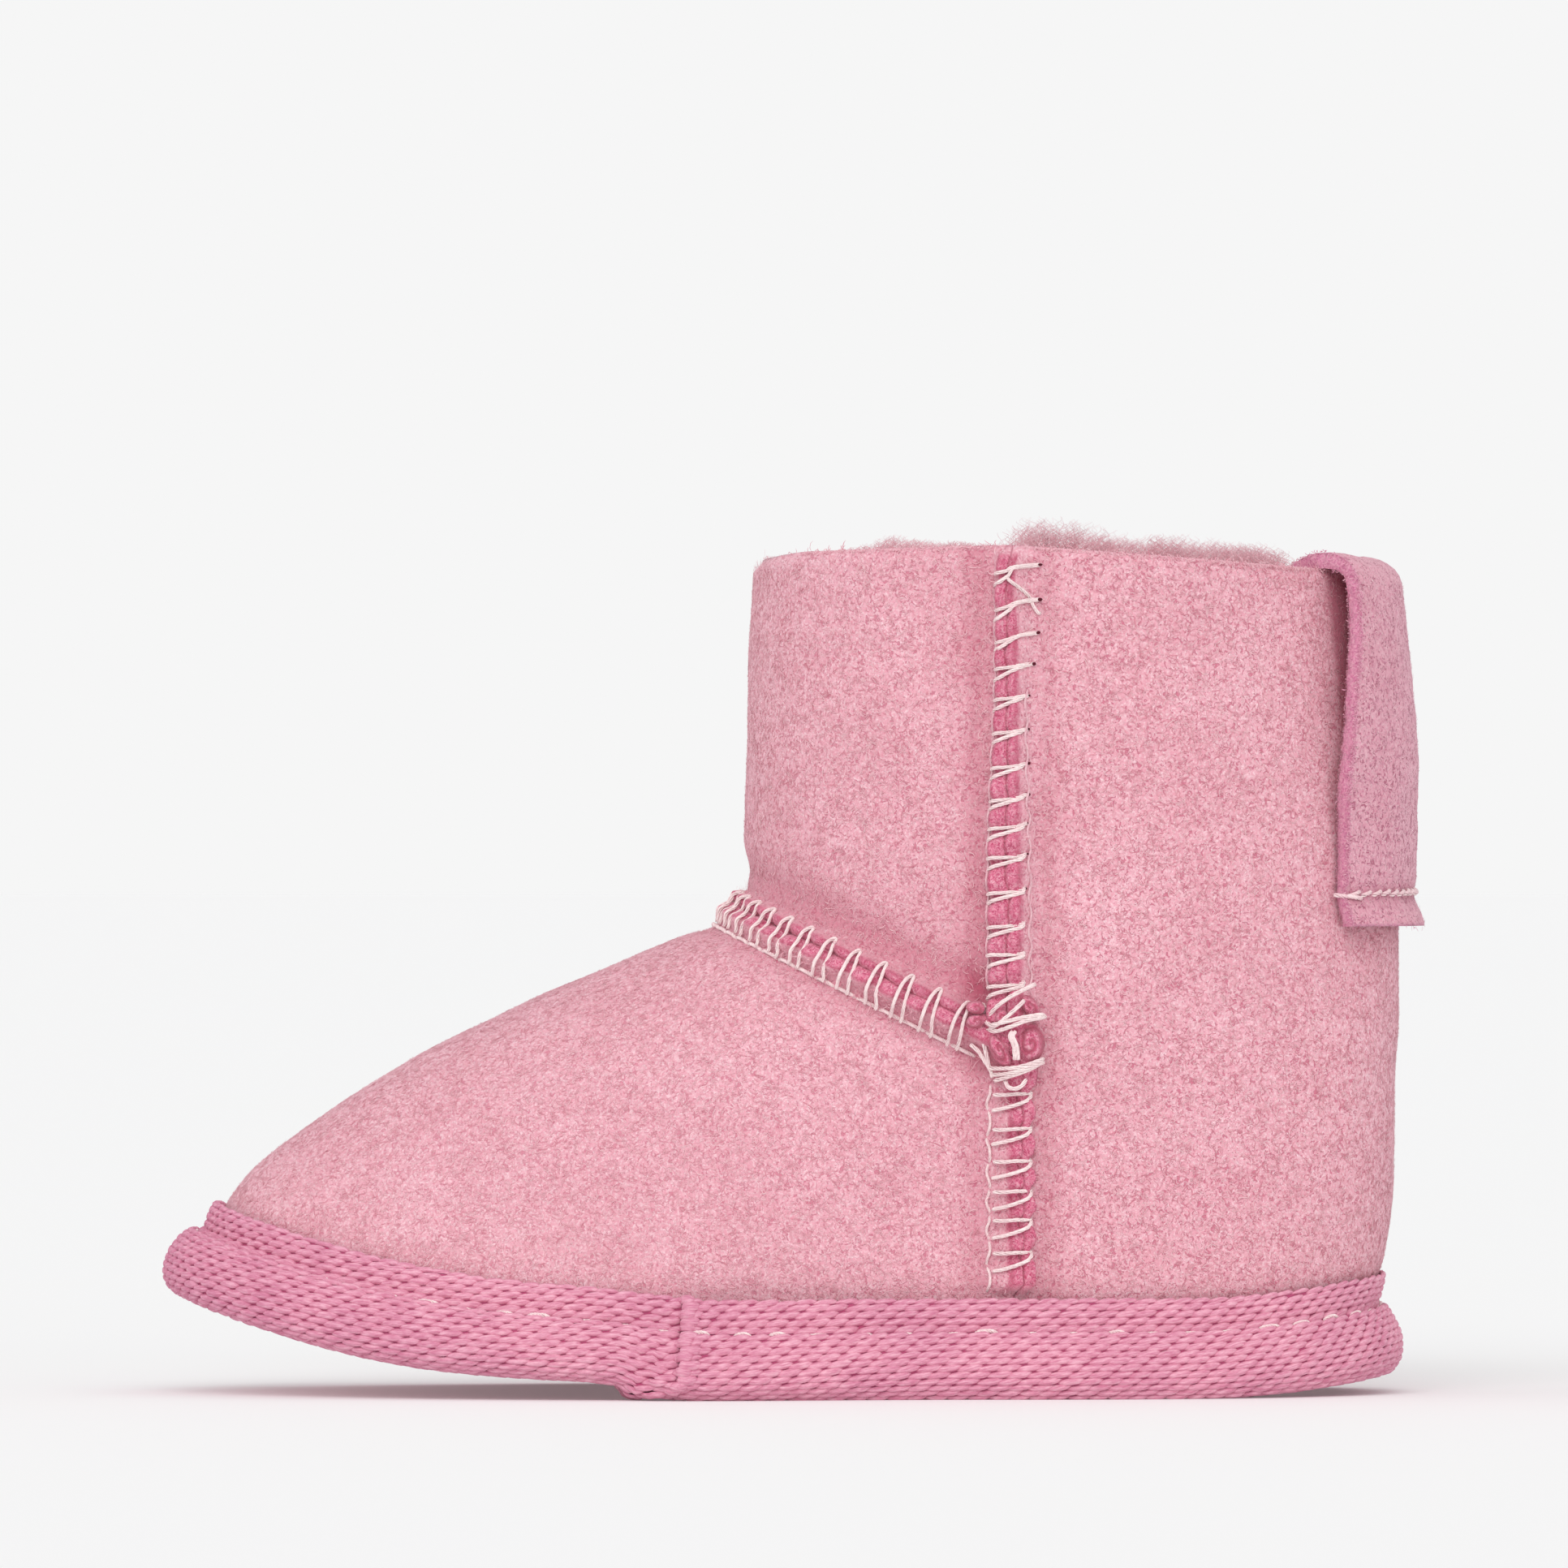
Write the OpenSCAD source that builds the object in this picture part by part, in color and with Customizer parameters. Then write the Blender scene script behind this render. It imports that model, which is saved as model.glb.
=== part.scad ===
// Sheepskin baby bootie: three hide panels with a wool pile, a soft sole bound with woven
// tape, raised overlocked seams and a leather pull tab that leans back on its sewn end.
// The toe points along -X, the heel along +X, and Z = 0 is the ground.

/* [Outline] */
// Length of the bootie over the binding tape
boot_length = 130; // [120:1:140]
// Height of the collar at the side seams
boot_height = 89; // [84:1:94]
// Half of the width of the upper at the side seams, next to the sole
waist_half_w = 23; // [21:0.5:25]
// Half of the width of the collar at the side seams
collar_half_w = 26; // [24:0.5:28]
// How much wider each side of the upper is at the ball of the foot
ball_gain = 7.5; // [4:0.5:9]
// Height of the instep seam where the vamp meets the front of the shaft
crease_z = 50.8; // [48:0.2:54]
// Height at which the instep seam meets the side seams
junction_z = 37.5; // [34:0.1:42]
// How fast the sole curls up towards the toe and the heel, in 1/mm
rocker = 0.004; // [0.003:0.0002:0.005]
// How far the sole steps up in front of the ball of the foot
front_lift = 1.3; // [0:0.1:2]

/* [Materials] */
// Thickness of the hide
hide_t = 1.4; // [1:0.1:1.6]
// Depth of the wool pile
pile_t = 5; // [3:0.5:6]
// Thickness of the binding tape
tape_t = 1.05; // [0.8:0.05:1.1]
// Thickness of the sewing thread
thread_d = 0.5; // [0.3:0.05:0.55]

/* [Seams] */
// How far the turned-out edges of a seam stand proud
lip_h = 1.9; // [1:0.1:2]
// Distance between two stitches of an overlocked seam
overlock_pitch = 3.5; // [3:0.1:5]
// Distance between two stitches of a straight seam
lock_pitch = 3; // [2.5:0.1:4]

/* [Pull tab] */
// Half of the angle that the tab wraps around the back of the shaft, at the collar
tab_wrap = 30.5; // [25:0.5:36]
// How much wider that angle is at the tab's lower end
tab_flare = 5; // [0:0.5:8]
// Thickness of the tab's leather
tab_t = 1.6; // [1.2:0.1:2]
// Height of the tab's lower end
tab_end_z = 49.2; // [46:0.1:52]

/* [Hidden] */

$fn = 32;
clearance = 0.12;

// The sole: heights are measured up from its curved underside
groove_h = 7.1;
tape_top_h = groove_h + 3.3;
flange_w = 1.9;
flange_top_h = groove_h - 1.9;
outsole_top_h = 2.6;
insole_top_h = outsole_top_h + hide_t + clearance;
insole_pile_top_h = insole_top_h + pile_t;
tuck_w = 3.1;
tape_gap = 0.28;
lift_x = -7;
lift_w = 16;
toe_roll_x = -16;
heel_roll_x = 40;

// The upper: its walls stand on a line where the tape folds out from them
seam_x = 23.7;
toe_x = -boot_length / 2 + 5;
heel_x = boot_length / 2 - 3.8;
crease_x = -3.9;
collar_front_z = boot_height - 0.7;
collar_back_z = boot_height - 2.6;
collar_back_x = heel_x + 0.2;
wall_fullness = 0.78;

// Seam edges: a panel is drawn with grid lines at these distances from a seam's middle
lip_w = 2.6;
lip_steps = [lip_w, 1.7, 0.9, 0.25];
tape_rise = [0, 3.6, 5.2];
plain_rows = 11;
plain_cols = 17;
last_col = plain_cols + 3;
col_codes = [for (k = [-last_col:last_col]) k];
plain_gap = 0.1;
loop_r = 2.55;
thread_r = thread_d / 2;
topstitch_d = 3.5;

// The pull tab: offsets are measured out from the back of the shaft
tab_stitch_z = tab_end_z + 3.4;
tab_inner_end_z = collar_back_z - 11;
tab_gap_low = 0.45;
tab_gap_high = 1.9;
tab_inner_off = -5.1;
tab_crown_h = 2.5;

pink = [0.93, 0.66, 0.73];
tape_pink = [0.87, 0.48, 0.68];
tab_pink = [0.86, 0.58, 0.69];
wool_pink = [0.92, 0.74, 0.78];
thread_white = [0.96, 0.88, 0.87];

function mix(a, b, t) = a + (b - a) * t;
function clamp01(t) = min(1, max(0, t));
function smooth(t) = let (s = clamp01(t)) s * s * (3 - 2 * s);
function unit(v) = v / norm(v);
function signed_pow(s, p) = sign(s) * pow(abs(s), p);
function bezier(p, t) =
    pow(1 - t, 3) * p[0] + 3 * t * pow(1 - t, 2) * p[1]
    + 3 * t * t * (1 - t) * p[2] + pow(t, 3) * p[3];

// Height of the sole's underside above the ground, and its slope
function lift_share(x) = clamp01((lift_x - x) / lift_w);
function rise(x) =
    front_lift * smooth(lift_share(x))
    + rocker * (pow(max(0, toe_roll_x - x), 2) + pow(max(0, x - heel_roll_x), 2));
function rise_slope(x) =
    let (s = lift_share(x))
    2 * rocker * (max(0, x - heel_roll_x) - max(0, toe_roll_x - x))
    - 6 * s * (1 - s) * front_lift / lift_w;
function sole_up(x) = unit([-rise_slope(x), 0, 1]);

// The point of the underside below a point of the groove, and the groove's height there
function under_x(x) =
    let (first = x - groove_h * sole_up(x)[0])
    x - groove_h * sole_up(first)[0];
function groove_z(x) =
    let (g = under_x(x))
    rise(g) + groove_h * sole_up(g)[2];

// ---- The surface of the upper ----
// A patch is "vamp", "shaft" or "heel". t runs from its lower edge to its upper edge, and a
// is the angle around it: 0 at the middle of the toe, shin or heel, and 90 at a side seam.
// inset moves the surface in by that much, towards the foot.
toe_z = groove_z(toe_x);
heel_z = groove_z(heel_x);

function profile(patch, inset) =
    patch == "vamp" ? [
        [toe_x + 1.1 * inset, toe_z],
        [toe_x + 2.7 + 1.1 * inset, toe_z + 12.8 - 0.45 * inset],
        [crease_x - 19.8 + inset, crease_z - 6.9 - 0.77 * inset],
        [crease_x + inset, crease_z - 0.77 * inset]]
    : patch == "shaft" ? [
        [crease_x + inset, crease_z - 0.77 * inset],
        [crease_x - 0.4 + inset, mix(crease_z, collar_front_z, 0.33) - 0.3 * inset],
        [crease_x - 0.5 + inset, mix(crease_z, collar_front_z, 0.67)],
        [crease_x + 0.3 + inset, collar_front_z]]
    : [
        [heel_x - inset, heel_z],
        [heel_x + 5.9 - inset, heel_z + 15.3],
        [heel_x + 3.7 - inset, mix(heel_z, collar_back_z, 0.617)],
        [collar_back_x - inset, collar_back_z]];

function side_z(patch, t) =
    patch == "vamp" ? mix(groove_h, junction_z, t)
    : patch == "shaft" ? mix(junction_z, boot_height, t)
    : mix(groove_h, boot_height, t);

function half_w(z) = mix(waist_half_w, collar_half_w, smooth(z / boot_height));

function skin(patch, t, a, inset = 0) =
    let (
        c = cos(a),
        z_side = side_z(patch, t),
        middle = bezier(profile(patch, inset), t),
        x = seam_x + (middle[0] - seam_x) * c,
        gain = patch == "vamp" ? ball_gain * (1 - t) * smooth(c / 0.6) : 0,
        fullness = patch == "shaft" ? 1 : mix(wall_fullness, 1, t),
        y = (half_w(z_side) - inset + gain) * signed_pow(sin(a), fullness),
        base = profile(patch, inset)[0],
        base_rise = groove_z(mix(seam_x, base[0], c)) - mix(groove_h, base[1], c),
        follow = patch == "shaft" ? 0 : pow(1 - t, 2) * base_rise
    )
    [x, y, mix(z_side, middle[1], c) + follow];

function skin_normal(patch, t, a) =
    let (
        along = skin(patch, t + 0.01, a) - skin(patch, t - 0.01, a),
        around = skin(patch, t, a + 0.5) - skin(patch, t, a - 0.5),
        n = unit(cross(around, along)),
        p = skin(patch, t, a)
    )
    n * [p[0] - seam_x, p[1], 0] < 0 ? -n : n;

// Length of a patch from its lower to its upper edge, and from its middle to a side seam
function patch_height(patch, c) =
    patch == "vamp" ? mix(junction_z - groove_h, 64, c)
    : patch == "shaft" ? mix(boot_height - junction_z, collar_front_z - crease_z, c)
    : boot_height - groove_h;
function patch_depth(patch, t) = abs(bezier(profile(patch, 0), t)[0] - seam_x);

// The instep seam is where the vamp meets the shaft, and this is the way its ridge points
function instep_normal(a) = unit(skin_normal("vamp", 1, a) + skin_normal("shaft", 0, a));

// How far a point of a panel is pushed out by the seams near it. The ridge of a side seam
// sinks away just above the tape.
function lip(d) = lip_h * (1 - smooth(d / lip_w));
function above_tape(patch, t, c) =
    patch == "shaft" ? 1 : smooth((t * patch_height(patch, c) - tape_rise[1]) / (tape_rise[2] - tape_rise[1]));
function raised(patch, t, a, inset) =
    let (
        p = skin(patch, t, a, inset),
        c = cos(a),
        to_side = above_tape(patch, t, c) * lip(abs(skin(patch, t, a)[0] - seam_x)),
        to_instep = patch == "vamp" ? lip((1 - t) * patch_height(patch, c))
            : patch == "shaft" ? lip(t * patch_height(patch, c)) : 0,
        side_way = [0, sign(a), 0],
        way = to_instep > to_side ? instep_normal(a) : side_way
    )
    p + way * max(to_side, to_instep);

// ---- The frame of the sole's edge ----
// At each station, n is measured out from the upper along the curved underside, and h up
// from the underside
function edge_out(patch, a) =
    let (
        around = skin(patch, 0, a + 0.5) - skin(patch, 0, a - 0.5),
        flat = unit([around[1], -around[0], 0]),
        p = skin(patch, 0, a)
    )
    flat * [p[0] - seam_x, p[1], 0] < 0 ? -flat : flat;
function edge_point(patch, a, n, h) =
    let (
        p = skin(patch, 0, a),
        out = edge_out(patch, a),
        g = under_x(p[0]),
        x = g + n * out[0] * sole_up(g)[2]
    )
    [x, p[1] + n * out[1], rise(x)] + h * sole_up(x);

// Stations around the sole: from the toe by the right side to the heel, and back
lap_a = 65.7;
stations = concat(
    [for (k = [0:last_col]) ["vamp", column_angle("vamp", 0, k)]],
    [for (k = [last_col:-1:-last_col]) ["heel", column_angle("heel", 0, k)]],
    [for (k = [-last_col:-1]) ["vamp", column_angle("vamp", 0, k)]]);

// ---- Solids from grids of points ----
// A closed sheet between an outer and an inner grid of the same size
module sheet_between(outer, inner, turned = false) {
    rows = len(outer);
    cols = len(outer[0]);
    n = rows * cols;
    rim = concat(
        [for (j = [0:cols - 1]) j],
        [for (i = [1:rows - 1]) i * cols + cols - 1],
        [for (j = [cols - 2:-1:0]) (rows - 1) * cols + j],
        [for (i = [rows - 2:-1:1]) i * cols]);
    faces = concat(
        [for (i = [0:rows - 2], j = [0:cols - 2])
            let (a = i * cols + j)
            each [[a, a + 1, a + cols + 1], [a, a + cols + 1, a + cols]]],
        [for (i = [0:rows - 2], j = [0:cols - 2])
            let (a = n + i * cols + j)
            each [[a, a + cols + 1, a + 1], [a, a + cols, a + cols + 1]]],
        [for (k = [0:len(rim) - 1])
            let (a = rim[k], b = rim[(k + 1) % len(rim)])
            each [[b, a, a + n], [b, a + n, b + n]]]);
    polyhedron(
        points = concat([for (r = outer) each r], [for (r = inner) each r]),
        faces = turned ? [for (f = faces) [f[2], f[1], f[0]]] : faces);
}

// A closed ring of sections, each a list of points
module ring_of(sections) {
    rings = len(sections);
    m = len(sections[0]);
    polyhedron(
        points = [for (s = sections) each s],
        faces = [for (k = [0:rings - 1], i = [0:m - 1])
            let (
                a = k * m + i,
                b = k * m + (i + 1) % m,
                c = ((k + 1) % rings) * m + (i + 1) % m,
                d = ((k + 1) % rings) * m + i
            )
            each [[a, b, c], [a, c, d]]]);
}

// A thread's stitch from one point to another
module rod(from, to) {
    v = to - from;
    translate(from)
        rotate([0, acos(v[2] / norm(v)), atan2(v[1], v[0])])
            cylinder(h = norm(v), r = thread_r);
}

// A thread's stitch over a seam's ridge: an arc around the seam's direction
module stitch_loop(at, along, out, half_arc) {
    b = unit(cross(out, along));
    n = unit(cross(along, b));
    multmatrix([
        [b[0], n[0], along[0], at[0]],
        [b[1], n[1], along[1], at[1]],
        [b[2], n[2], along[2], at[2]],
        [0, 0, 0, 1]])
        rotate([0, 0, 90 - half_arc])
            rotate_extrude(angle = 2 * half_arc)
                translate([loop_r, 0]) circle(r = thread_r);
}

// ---- Hide panels ----
// The angle of a column, whose last few lines follow the side seam at set distances
function column_angle(patch, t, k) =
    let (
        depth = patch_depth(patch, t),
        j = abs(k),
        edge = acos(lip_w / depth)
    )
    sign(k) * (j <= plain_cols ? edge * j / plain_cols : acos(lip_steps[j - plain_cols] / depth));

// The height of a row: the first few lines pass behind the tape's upper edge, and the last
// few follow the instep seam at set distances
function first_plain(patch) = patch == "shaft" ? 0 : 2;
function row_height(patch, k, c) =
    let (
        high = patch_height(patch, c),
        edge = patch == "heel" ? 1 : 1 - lip_w / high,
        start = patch == "shaft" ? 0 : tape_rise[2] / high,
        t = patch != "shaft" && k < 2 ? tape_rise[k] / high
            : k <= plain_rows ? mix(start, edge, (k - first_plain(patch)) / (plain_rows - first_plain(patch)))
            : 1 - lip_steps[k - plain_rows] / high
    )
    patch == "shaft" ? 1 - t : t;

function panel_rows(patch) =
    patch == "heel" ? [for (k = [0:plain_rows]) k]
    : [for (k = [0:plain_rows + 3]) k];

function panel_grid(patch, inset) =
    [for (k = panel_rows(patch))
        [for (j = col_codes)
            let (
                t0 = row_height(patch, k, 0.5),
                a = column_angle(patch, t0, j),
                t = row_height(patch, k, cos(a))
            )
            raised(patch, t, a, inset)]];

// The lower edge of a panel turns out into the flange that the tape wraps
function flange_row(patch, n, h) =
    [for (j = col_codes)
        let (
            a = column_angle(patch, 0, j),
            p = edge_point(patch, a, n, h),
            side = patch == "heel" ? 1 : -1
        )
        [side > 0 ? max(p[0], seam_x + lip_steps[3]) : min(p[0], seam_x - lip_steps[3]), p[1], p[2]]];

module walled_panel(patch) {
    color(pink)
        sheet_between(
            concat([flange_row(patch, flange_w, flange_top_h), flange_row(patch, 0, flange_top_h)],
                panel_grid(patch, 0)),
            concat([flange_row(patch, flange_w, outsole_top_h + clearance),
                flange_row(patch, -hide_t, outsole_top_h + clearance)],
                panel_grid(patch, hide_t)),
            turned = patch == "heel");
}

module vamp() { walled_panel("vamp"); }

module heel_panel() { walled_panel("heel"); }

module shaft_front() {
    color(pink)
        sheet_between(panel_grid("shaft", 0), panel_grid("shaft", hide_t), turned = true);
}

// ---- Wool pile ----
pile_in = hide_t + 0.3;
pile_rows = 10;
pile_cols = 14;
tab_notch_half = tab_wrap + 4;
tab_notch_t = 1 - 15 / (boot_height - groove_h);
pile_columns = [for (k = [-pile_cols:pile_cols]) k / pile_cols];

function pile_angle(patch, t, f) =
    f * acos(plain_gap / patch_depth(patch, t));

// Behind the pull tab the pile stops lower, because the tab's inner end lies there
function pile_top(patch, a) =
    patch == "heel" ? mix(tab_notch_t, 1, smooth((abs(a) - tab_notch_half) / 16))
    : patch == "vamp" ? 1 - plain_gap / 31 : 1;
function pile_bottom(patch) = patch == "shaft" ? plain_gap / 36 : 0;

function pile_grid(patch, inset) =
    [for (k = [0:pile_rows])
        [for (f = pile_columns)
            let (
                a = pile_angle(patch, 1, f),
                t = mix(pile_bottom(patch), pile_top(patch, a), k / pile_rows)
            )
            skin(patch, t, a, inset)]];

function pile_foot(patch, n) =
    [for (f = pile_columns)
        let (p = edge_point(patch, pile_angle(patch, 1, f), n, insole_top_h + clearance))
        [patch == "heel" ? max(p[0], seam_x + plain_gap) : min(p[0], seam_x - plain_gap), p[1], p[2]]];

module walled_pile(patch) {
    color(wool_pink)
        sheet_between(
            concat([pile_foot(patch, -pile_in)], pile_grid(patch, pile_in)),
            concat([pile_foot(patch, -pile_in - pile_t)], pile_grid(patch, pile_in + pile_t)),
            turned = patch == "heel");
}

module vamp_fleece() { walled_pile("vamp"); }

module heel_panel_fleece() { walled_pile("heel"); }

module shaft_front_fleece() {
    color(wool_pink)
        sheet_between(pile_grid("shaft", pile_in), pile_grid("shaft", pile_in + pile_t));
}

// ---- Sole ----
// The plan outline at an offset from the upper, taken at one height
function outline(n, h) =
    [for (s = stations) let (p = edge_point(s[0], s[1], n, h)) [p[0], p[1]]];

// A slab between two heights above the curved underside, across the whole bootie
module curved_slab(low, high) {
    reach = boot_length / 2 + 6;
    xs = concat(
        [for (k = [0:19]) mix(-reach, lift_x, k / 19)],
        [for (k = [0:8]) mix(heel_roll_x, reach, k / 8)]);
    function level(x, h) = let (u = sole_up(x)) [x + h * u[0], rise(x) + h * u[2]];
    rotate([90, 0, 0])
        linear_extrude(height = 100, center = true)
            polygon(concat(
                [for (x = xs) level(x, low)],
                [for (k = [len(xs) - 1:-1:0]) level(xs[k], high)]));
}

module sole_plate(n, low, high) {
    intersection() {
        translate([0, 0, -1]) linear_extrude(height = 40) polygon(outline(n, (low + high) / 2));
        curved_slab(low, high);
    }
}

module outsole() {
    color(pink) union() {
        sole_plate(flange_w - 0.2, tape_t + clearance, outsole_top_h);
        sole_plate(-tuck_w - 0.6, 0, outsole_top_h);
    }
}

module insole() {
    color(pink) sole_plate(-hide_t - 0.7, outsole_top_h + clearance, insole_top_h);
}

module insole_fleece() {
    color(wool_pink)
        sole_plate(-hide_t - pile_t - 3.7, insole_top_h + clearance, insole_pile_top_h);
}

// ---- Binding tape ----
// The section of the tape, as [n, h] points: up the wall, out round the flange and under it
function tape_section(bulge, lean, lap) = [
    [tape_gap + lean, tape_top_h],
    [tape_gap + lean + tape_t + lap, tape_top_h],
    [tape_wall_n(lean, groove_h + 0.4) + tape_t + lap, groove_h + 0.4],
    [1.7 + lap, groove_h],
    [mix(1.7, bulge, 0.55) + lap, groove_h - 0.5],
    [bulge - 0.2 + lap, groove_h - 2],
    [bulge + lap, groove_h / 2],
    [bulge - 0.3 + lap, 1.7],
    [bulge - 1.3 + lap, 0.4],
    [1.2, 0],
    [-tuck_w, 0],
    [-tuck_w, tape_t],
    [flange_w + 0.4, tape_t],
    [flange_w + 0.4, flange_top_h + clearance],
    [tape_gap, flange_top_h + clearance]];

// How far the wall leans out at the tape's upper edge
function wall_lean(patch, a) =
    let (
        p = skin(patch, 0, a),
        g = under_x(p[0]),
        up = sole_up(g),
        out = edge_out(patch, a),
        way = [out[0] * up[2], out[1], out[0] * up[2] * rise_slope(g)],
        rate = (skin(patch, 0.04, a) - p) * up / 0.04,
        t = (tape_top_h - groove_h) / rate
    )
    (skin(patch, t, a) - p) * way;

// Where the tape's inner side is at a height above the groove
function tape_wall_n(lean, h) = tape_gap + lean * clamp01((h - groove_h) / (tape_top_h - groove_h));

// The tape's upper end laps over its start on the left side, and lies on it for a while
lap_t = 0.9;
function lap_at(a, x) =
    a < -lap_a ? lap_t * (1 - smooth((x + 10.6) / 16)) : 0;

lap_step = 0.4;
tape_stations = concat(
    [for (s = stations) if (s[0] == "heel" || s[1] >= 0 || s[1] < -lap_a - lap_step - 0.2) s],
    [["vamp", -lap_a - lap_step], ["vamp", -lap_a]],
    [for (s = stations) if (s[0] == "vamp" && s[1] < 0 && s[1] > -lap_a + 0.2) s]);

module binding_tape() {
    color(tape_pink)
        ring_of([for (s = tape_stations)
            let (
                x = skin(s[0], 0, s[1])[0],
                bulge = mix(3.2, 3.9, smooth(-x / 60)),
                lean = wall_lean(s[0], s[1]),
                on_vamp = s[0] == "vamp"
            )
            [for (q = tape_section(bulge, lean, on_vamp ? lap_at(s[1], x) : 0))
                edge_point(s[0], s[1], q[0], q[1])]]);
}

// Stitches that lie in the tape's groove
binding_stitch_count = 36;
module binding_stitches() {
    color(thread_white)
        for (s = ["vamp", "heel"], side = [-1, 1], k = [1:binding_stitch_count / 2 - 1])
            let (
                a = side * 90 * (k + 0.3) / (binding_stitch_count / 2),
                b = side * 90 * (k - 0.15) / (binding_stitch_count / 2),
                lap = s == "vamp" ? max(lap_at(a, skin(s, 0, a)[0]), lap_at(b, skin(s, 0, b)[0])) : 0,
                h = groove_h + 0.55 + thread_r,
                n = tape_wall_n(wall_lean(s, a), h) + tape_t + lap + thread_r + 0.25
            )
            rod(edge_point(s, a, n, h), edge_point(s, b, n, h));
}

// ---- Seams ----
instep_stitch_count = 11;
module instep_overlock() {
    color(thread_white)
        for (k = [-instep_stitch_count:instep_stitch_count])
            let (
                a = k * 80 / instep_stitch_count,
                at = skin("vamp", 1, a),
                along = unit(skin("vamp", 1, a + 1) - skin("vamp", 1, a - 1)),
                n1 = skin_normal("vamp", 1, a),
                n2 = skin_normal("shaft", 0, a),
                fold = acos(min(1, n1 * n2))
            )
            stitch_loop(at, along, instep_normal(a), 72 - fold / 2);
}

module instep_topstitch() {
    function at(a) =
        let (t = 1 - topstitch_d / patch_height("vamp", cos(a)))
        skin("vamp", t, a) + (thread_r + clearance) * skin_normal("vamp", t, a);
    count = 14;
    color(thread_white)
        for (k = [-count:count - 1])
            rod(at((k + 0.15) * 80 / count), at((k + 0.85) * 80 / count));
}

module side_overlock(side) {
    low = tape_top_h + 2;
    high = boot_height - 1.5;
    count = floor((high - low) / overlock_pitch);
    color(thread_white)
        for (k = [0:count])
            let (z = low + k * overlock_pitch)
            if (abs(z - junction_z) > 2)
                stitch_loop([seam_x, side * half_w(z), z], [0, 0, 1], [0, side, 0], 72);
}

module side_topstitch(side) {
    low = tape_top_h + 1.2;
    count = floor((junction_z - 3 - low) / lock_pitch);
    function at(z) =
        let (
            t = (z - groove_h) / (junction_z - groove_h),
            a = acos(topstitch_d / patch_depth("vamp", t)),
            p = skin("vamp", t, side * a)
        )
        p + (thread_r + clearance) * [0, side, 0];
    color(thread_white)
        for (k = [0:count - 1])
            rod(at(low + (k + 0.1) * lock_pitch), at(low + (k + 0.9) * lock_pitch));
}

module seam_knot(side) {
    color(thread_white)
        translate([seam_x, side * (half_w(junction_z) + lip_h + 2 * thread_r + 0.2), junction_z])
            rotate([90, 0, 0])
                rotate_extrude() translate([1.1, 0]) circle(r = thread_r * 1.3);
}

// ---- Pull tab ----
// The tab's middle line as [offset, z]: up the outside, over the collar and down the inside
tab_high_off = tab_gap_high + tab_t / 2;
tab_crown_z = collar_back_z - 1.2;
tab_steps = 8;
function tab_outer_off(z) =
    mix(tab_gap_low, tab_gap_high, smooth((z - tab_stitch_z) / 32)) + tab_t / 2;
tab_line = concat(
    [for (k = [0:tab_steps])
        let (z = mix(tab_end_z, tab_crown_z, k / tab_steps)) [tab_outer_off(z), z]],
    [for (k = [1:7])
        let (
            w = 180 * k / 8,
            mid = (tab_high_off + tab_inner_off) / 2,
            r = (tab_high_off - tab_inner_off) / 2
        )
        [mid + r * cos(w), tab_crown_z + tab_crown_h * sin(w)]],
    [for (k = [0:3]) [tab_inner_off, mix(tab_crown_z, tab_inner_end_z, k / 3)]]);

function line_normal(k) =
    let (
        a = tab_line[max(0, k - 1)],
        b = tab_line[min(len(tab_line) - 1, k + 1)],
        v = unit(b - a)
    )
    [v[1], -v[0]];

// A point at an offset from the back of the shaft, at angle a around it
function tab_point(q, a) =
    let (
        t = min(1, (q[1] - heel_z) / (collar_back_z - heel_z)),
        p = skin("heel", t, a),
        flat = skin_normal("heel", t, a),
        out = unit([flat[0], flat[1], 0]),
        collar_step = (boot_height - collar_back_z) * (1 - cos(a)) * smooth((q[1] - 68) / 14)
    )
    [p[0] + q[0] * out[0], p[1] + q[0] * out[1], q[1] + collar_step];

function tab_half(z) = tab_wrap + tab_flare * (1 - smooth((z - tab_end_z) / 34));
function tab_grid(side) =
    [for (k = [0:len(tab_line) - 1])
        let (q = tab_line[k] + side * tab_t / 2 * line_normal(k))
        [for (j = [-5:5]) tab_point(q, j * tab_half(tab_line[k][1]) / 5)]];

module pull_tab() {
    color(tab_pink) sheet_between(tab_grid(1), tab_grid(-1), turned = true);
}

module tab_row(off, z) {
    count = 7;
    color(thread_white)
        for (k = [-count:count - 1])
            rod(tab_point([off, z], (k + 0.12) * (tab_wrap - 2) / count),
                tab_point([off, z], (k + 0.88) * (tab_wrap - 2) / count));
}

module pull_tab_stitches() {
    tab_row(tab_outer_off(tab_stitch_z) + tab_t / 2 + thread_r + clearance, tab_stitch_z);
}

module pull_tab_inner_stitches() {
    tab_row(tab_inner_off - tab_t / 2 - thread_r - clearance, tab_inner_end_z + 2.5);
}

outsole();
insole();
insole_fleece();
vamp();
vamp_fleece();
shaft_front();
shaft_front_fleece();
heel_panel();
heel_panel_fleece();
binding_tape();
binding_stitches();
instep_overlock();
instep_topstitch();
side_overlock(-1);  // side_overlock_left
side_overlock(1);  // side_overlock_right
side_topstitch(-1);  // side_topstitch_left
side_topstitch(1);  // side_topstitch_right
seam_knot(-1);  // seam_knot_left
seam_knot(1);  // seam_knot_right
pull_tab();
pull_tab_stitches();
pull_tab_inner_stitches();
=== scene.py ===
"""Looks of the sheepskin baby bootie: suede, wool, plaited tape and twisted thread.

The shapes are in millimetres in the CAD's frame, and mesh_object() turns them into metres. The
camera and the positions that materials read are in metres.
"""

import math

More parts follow.
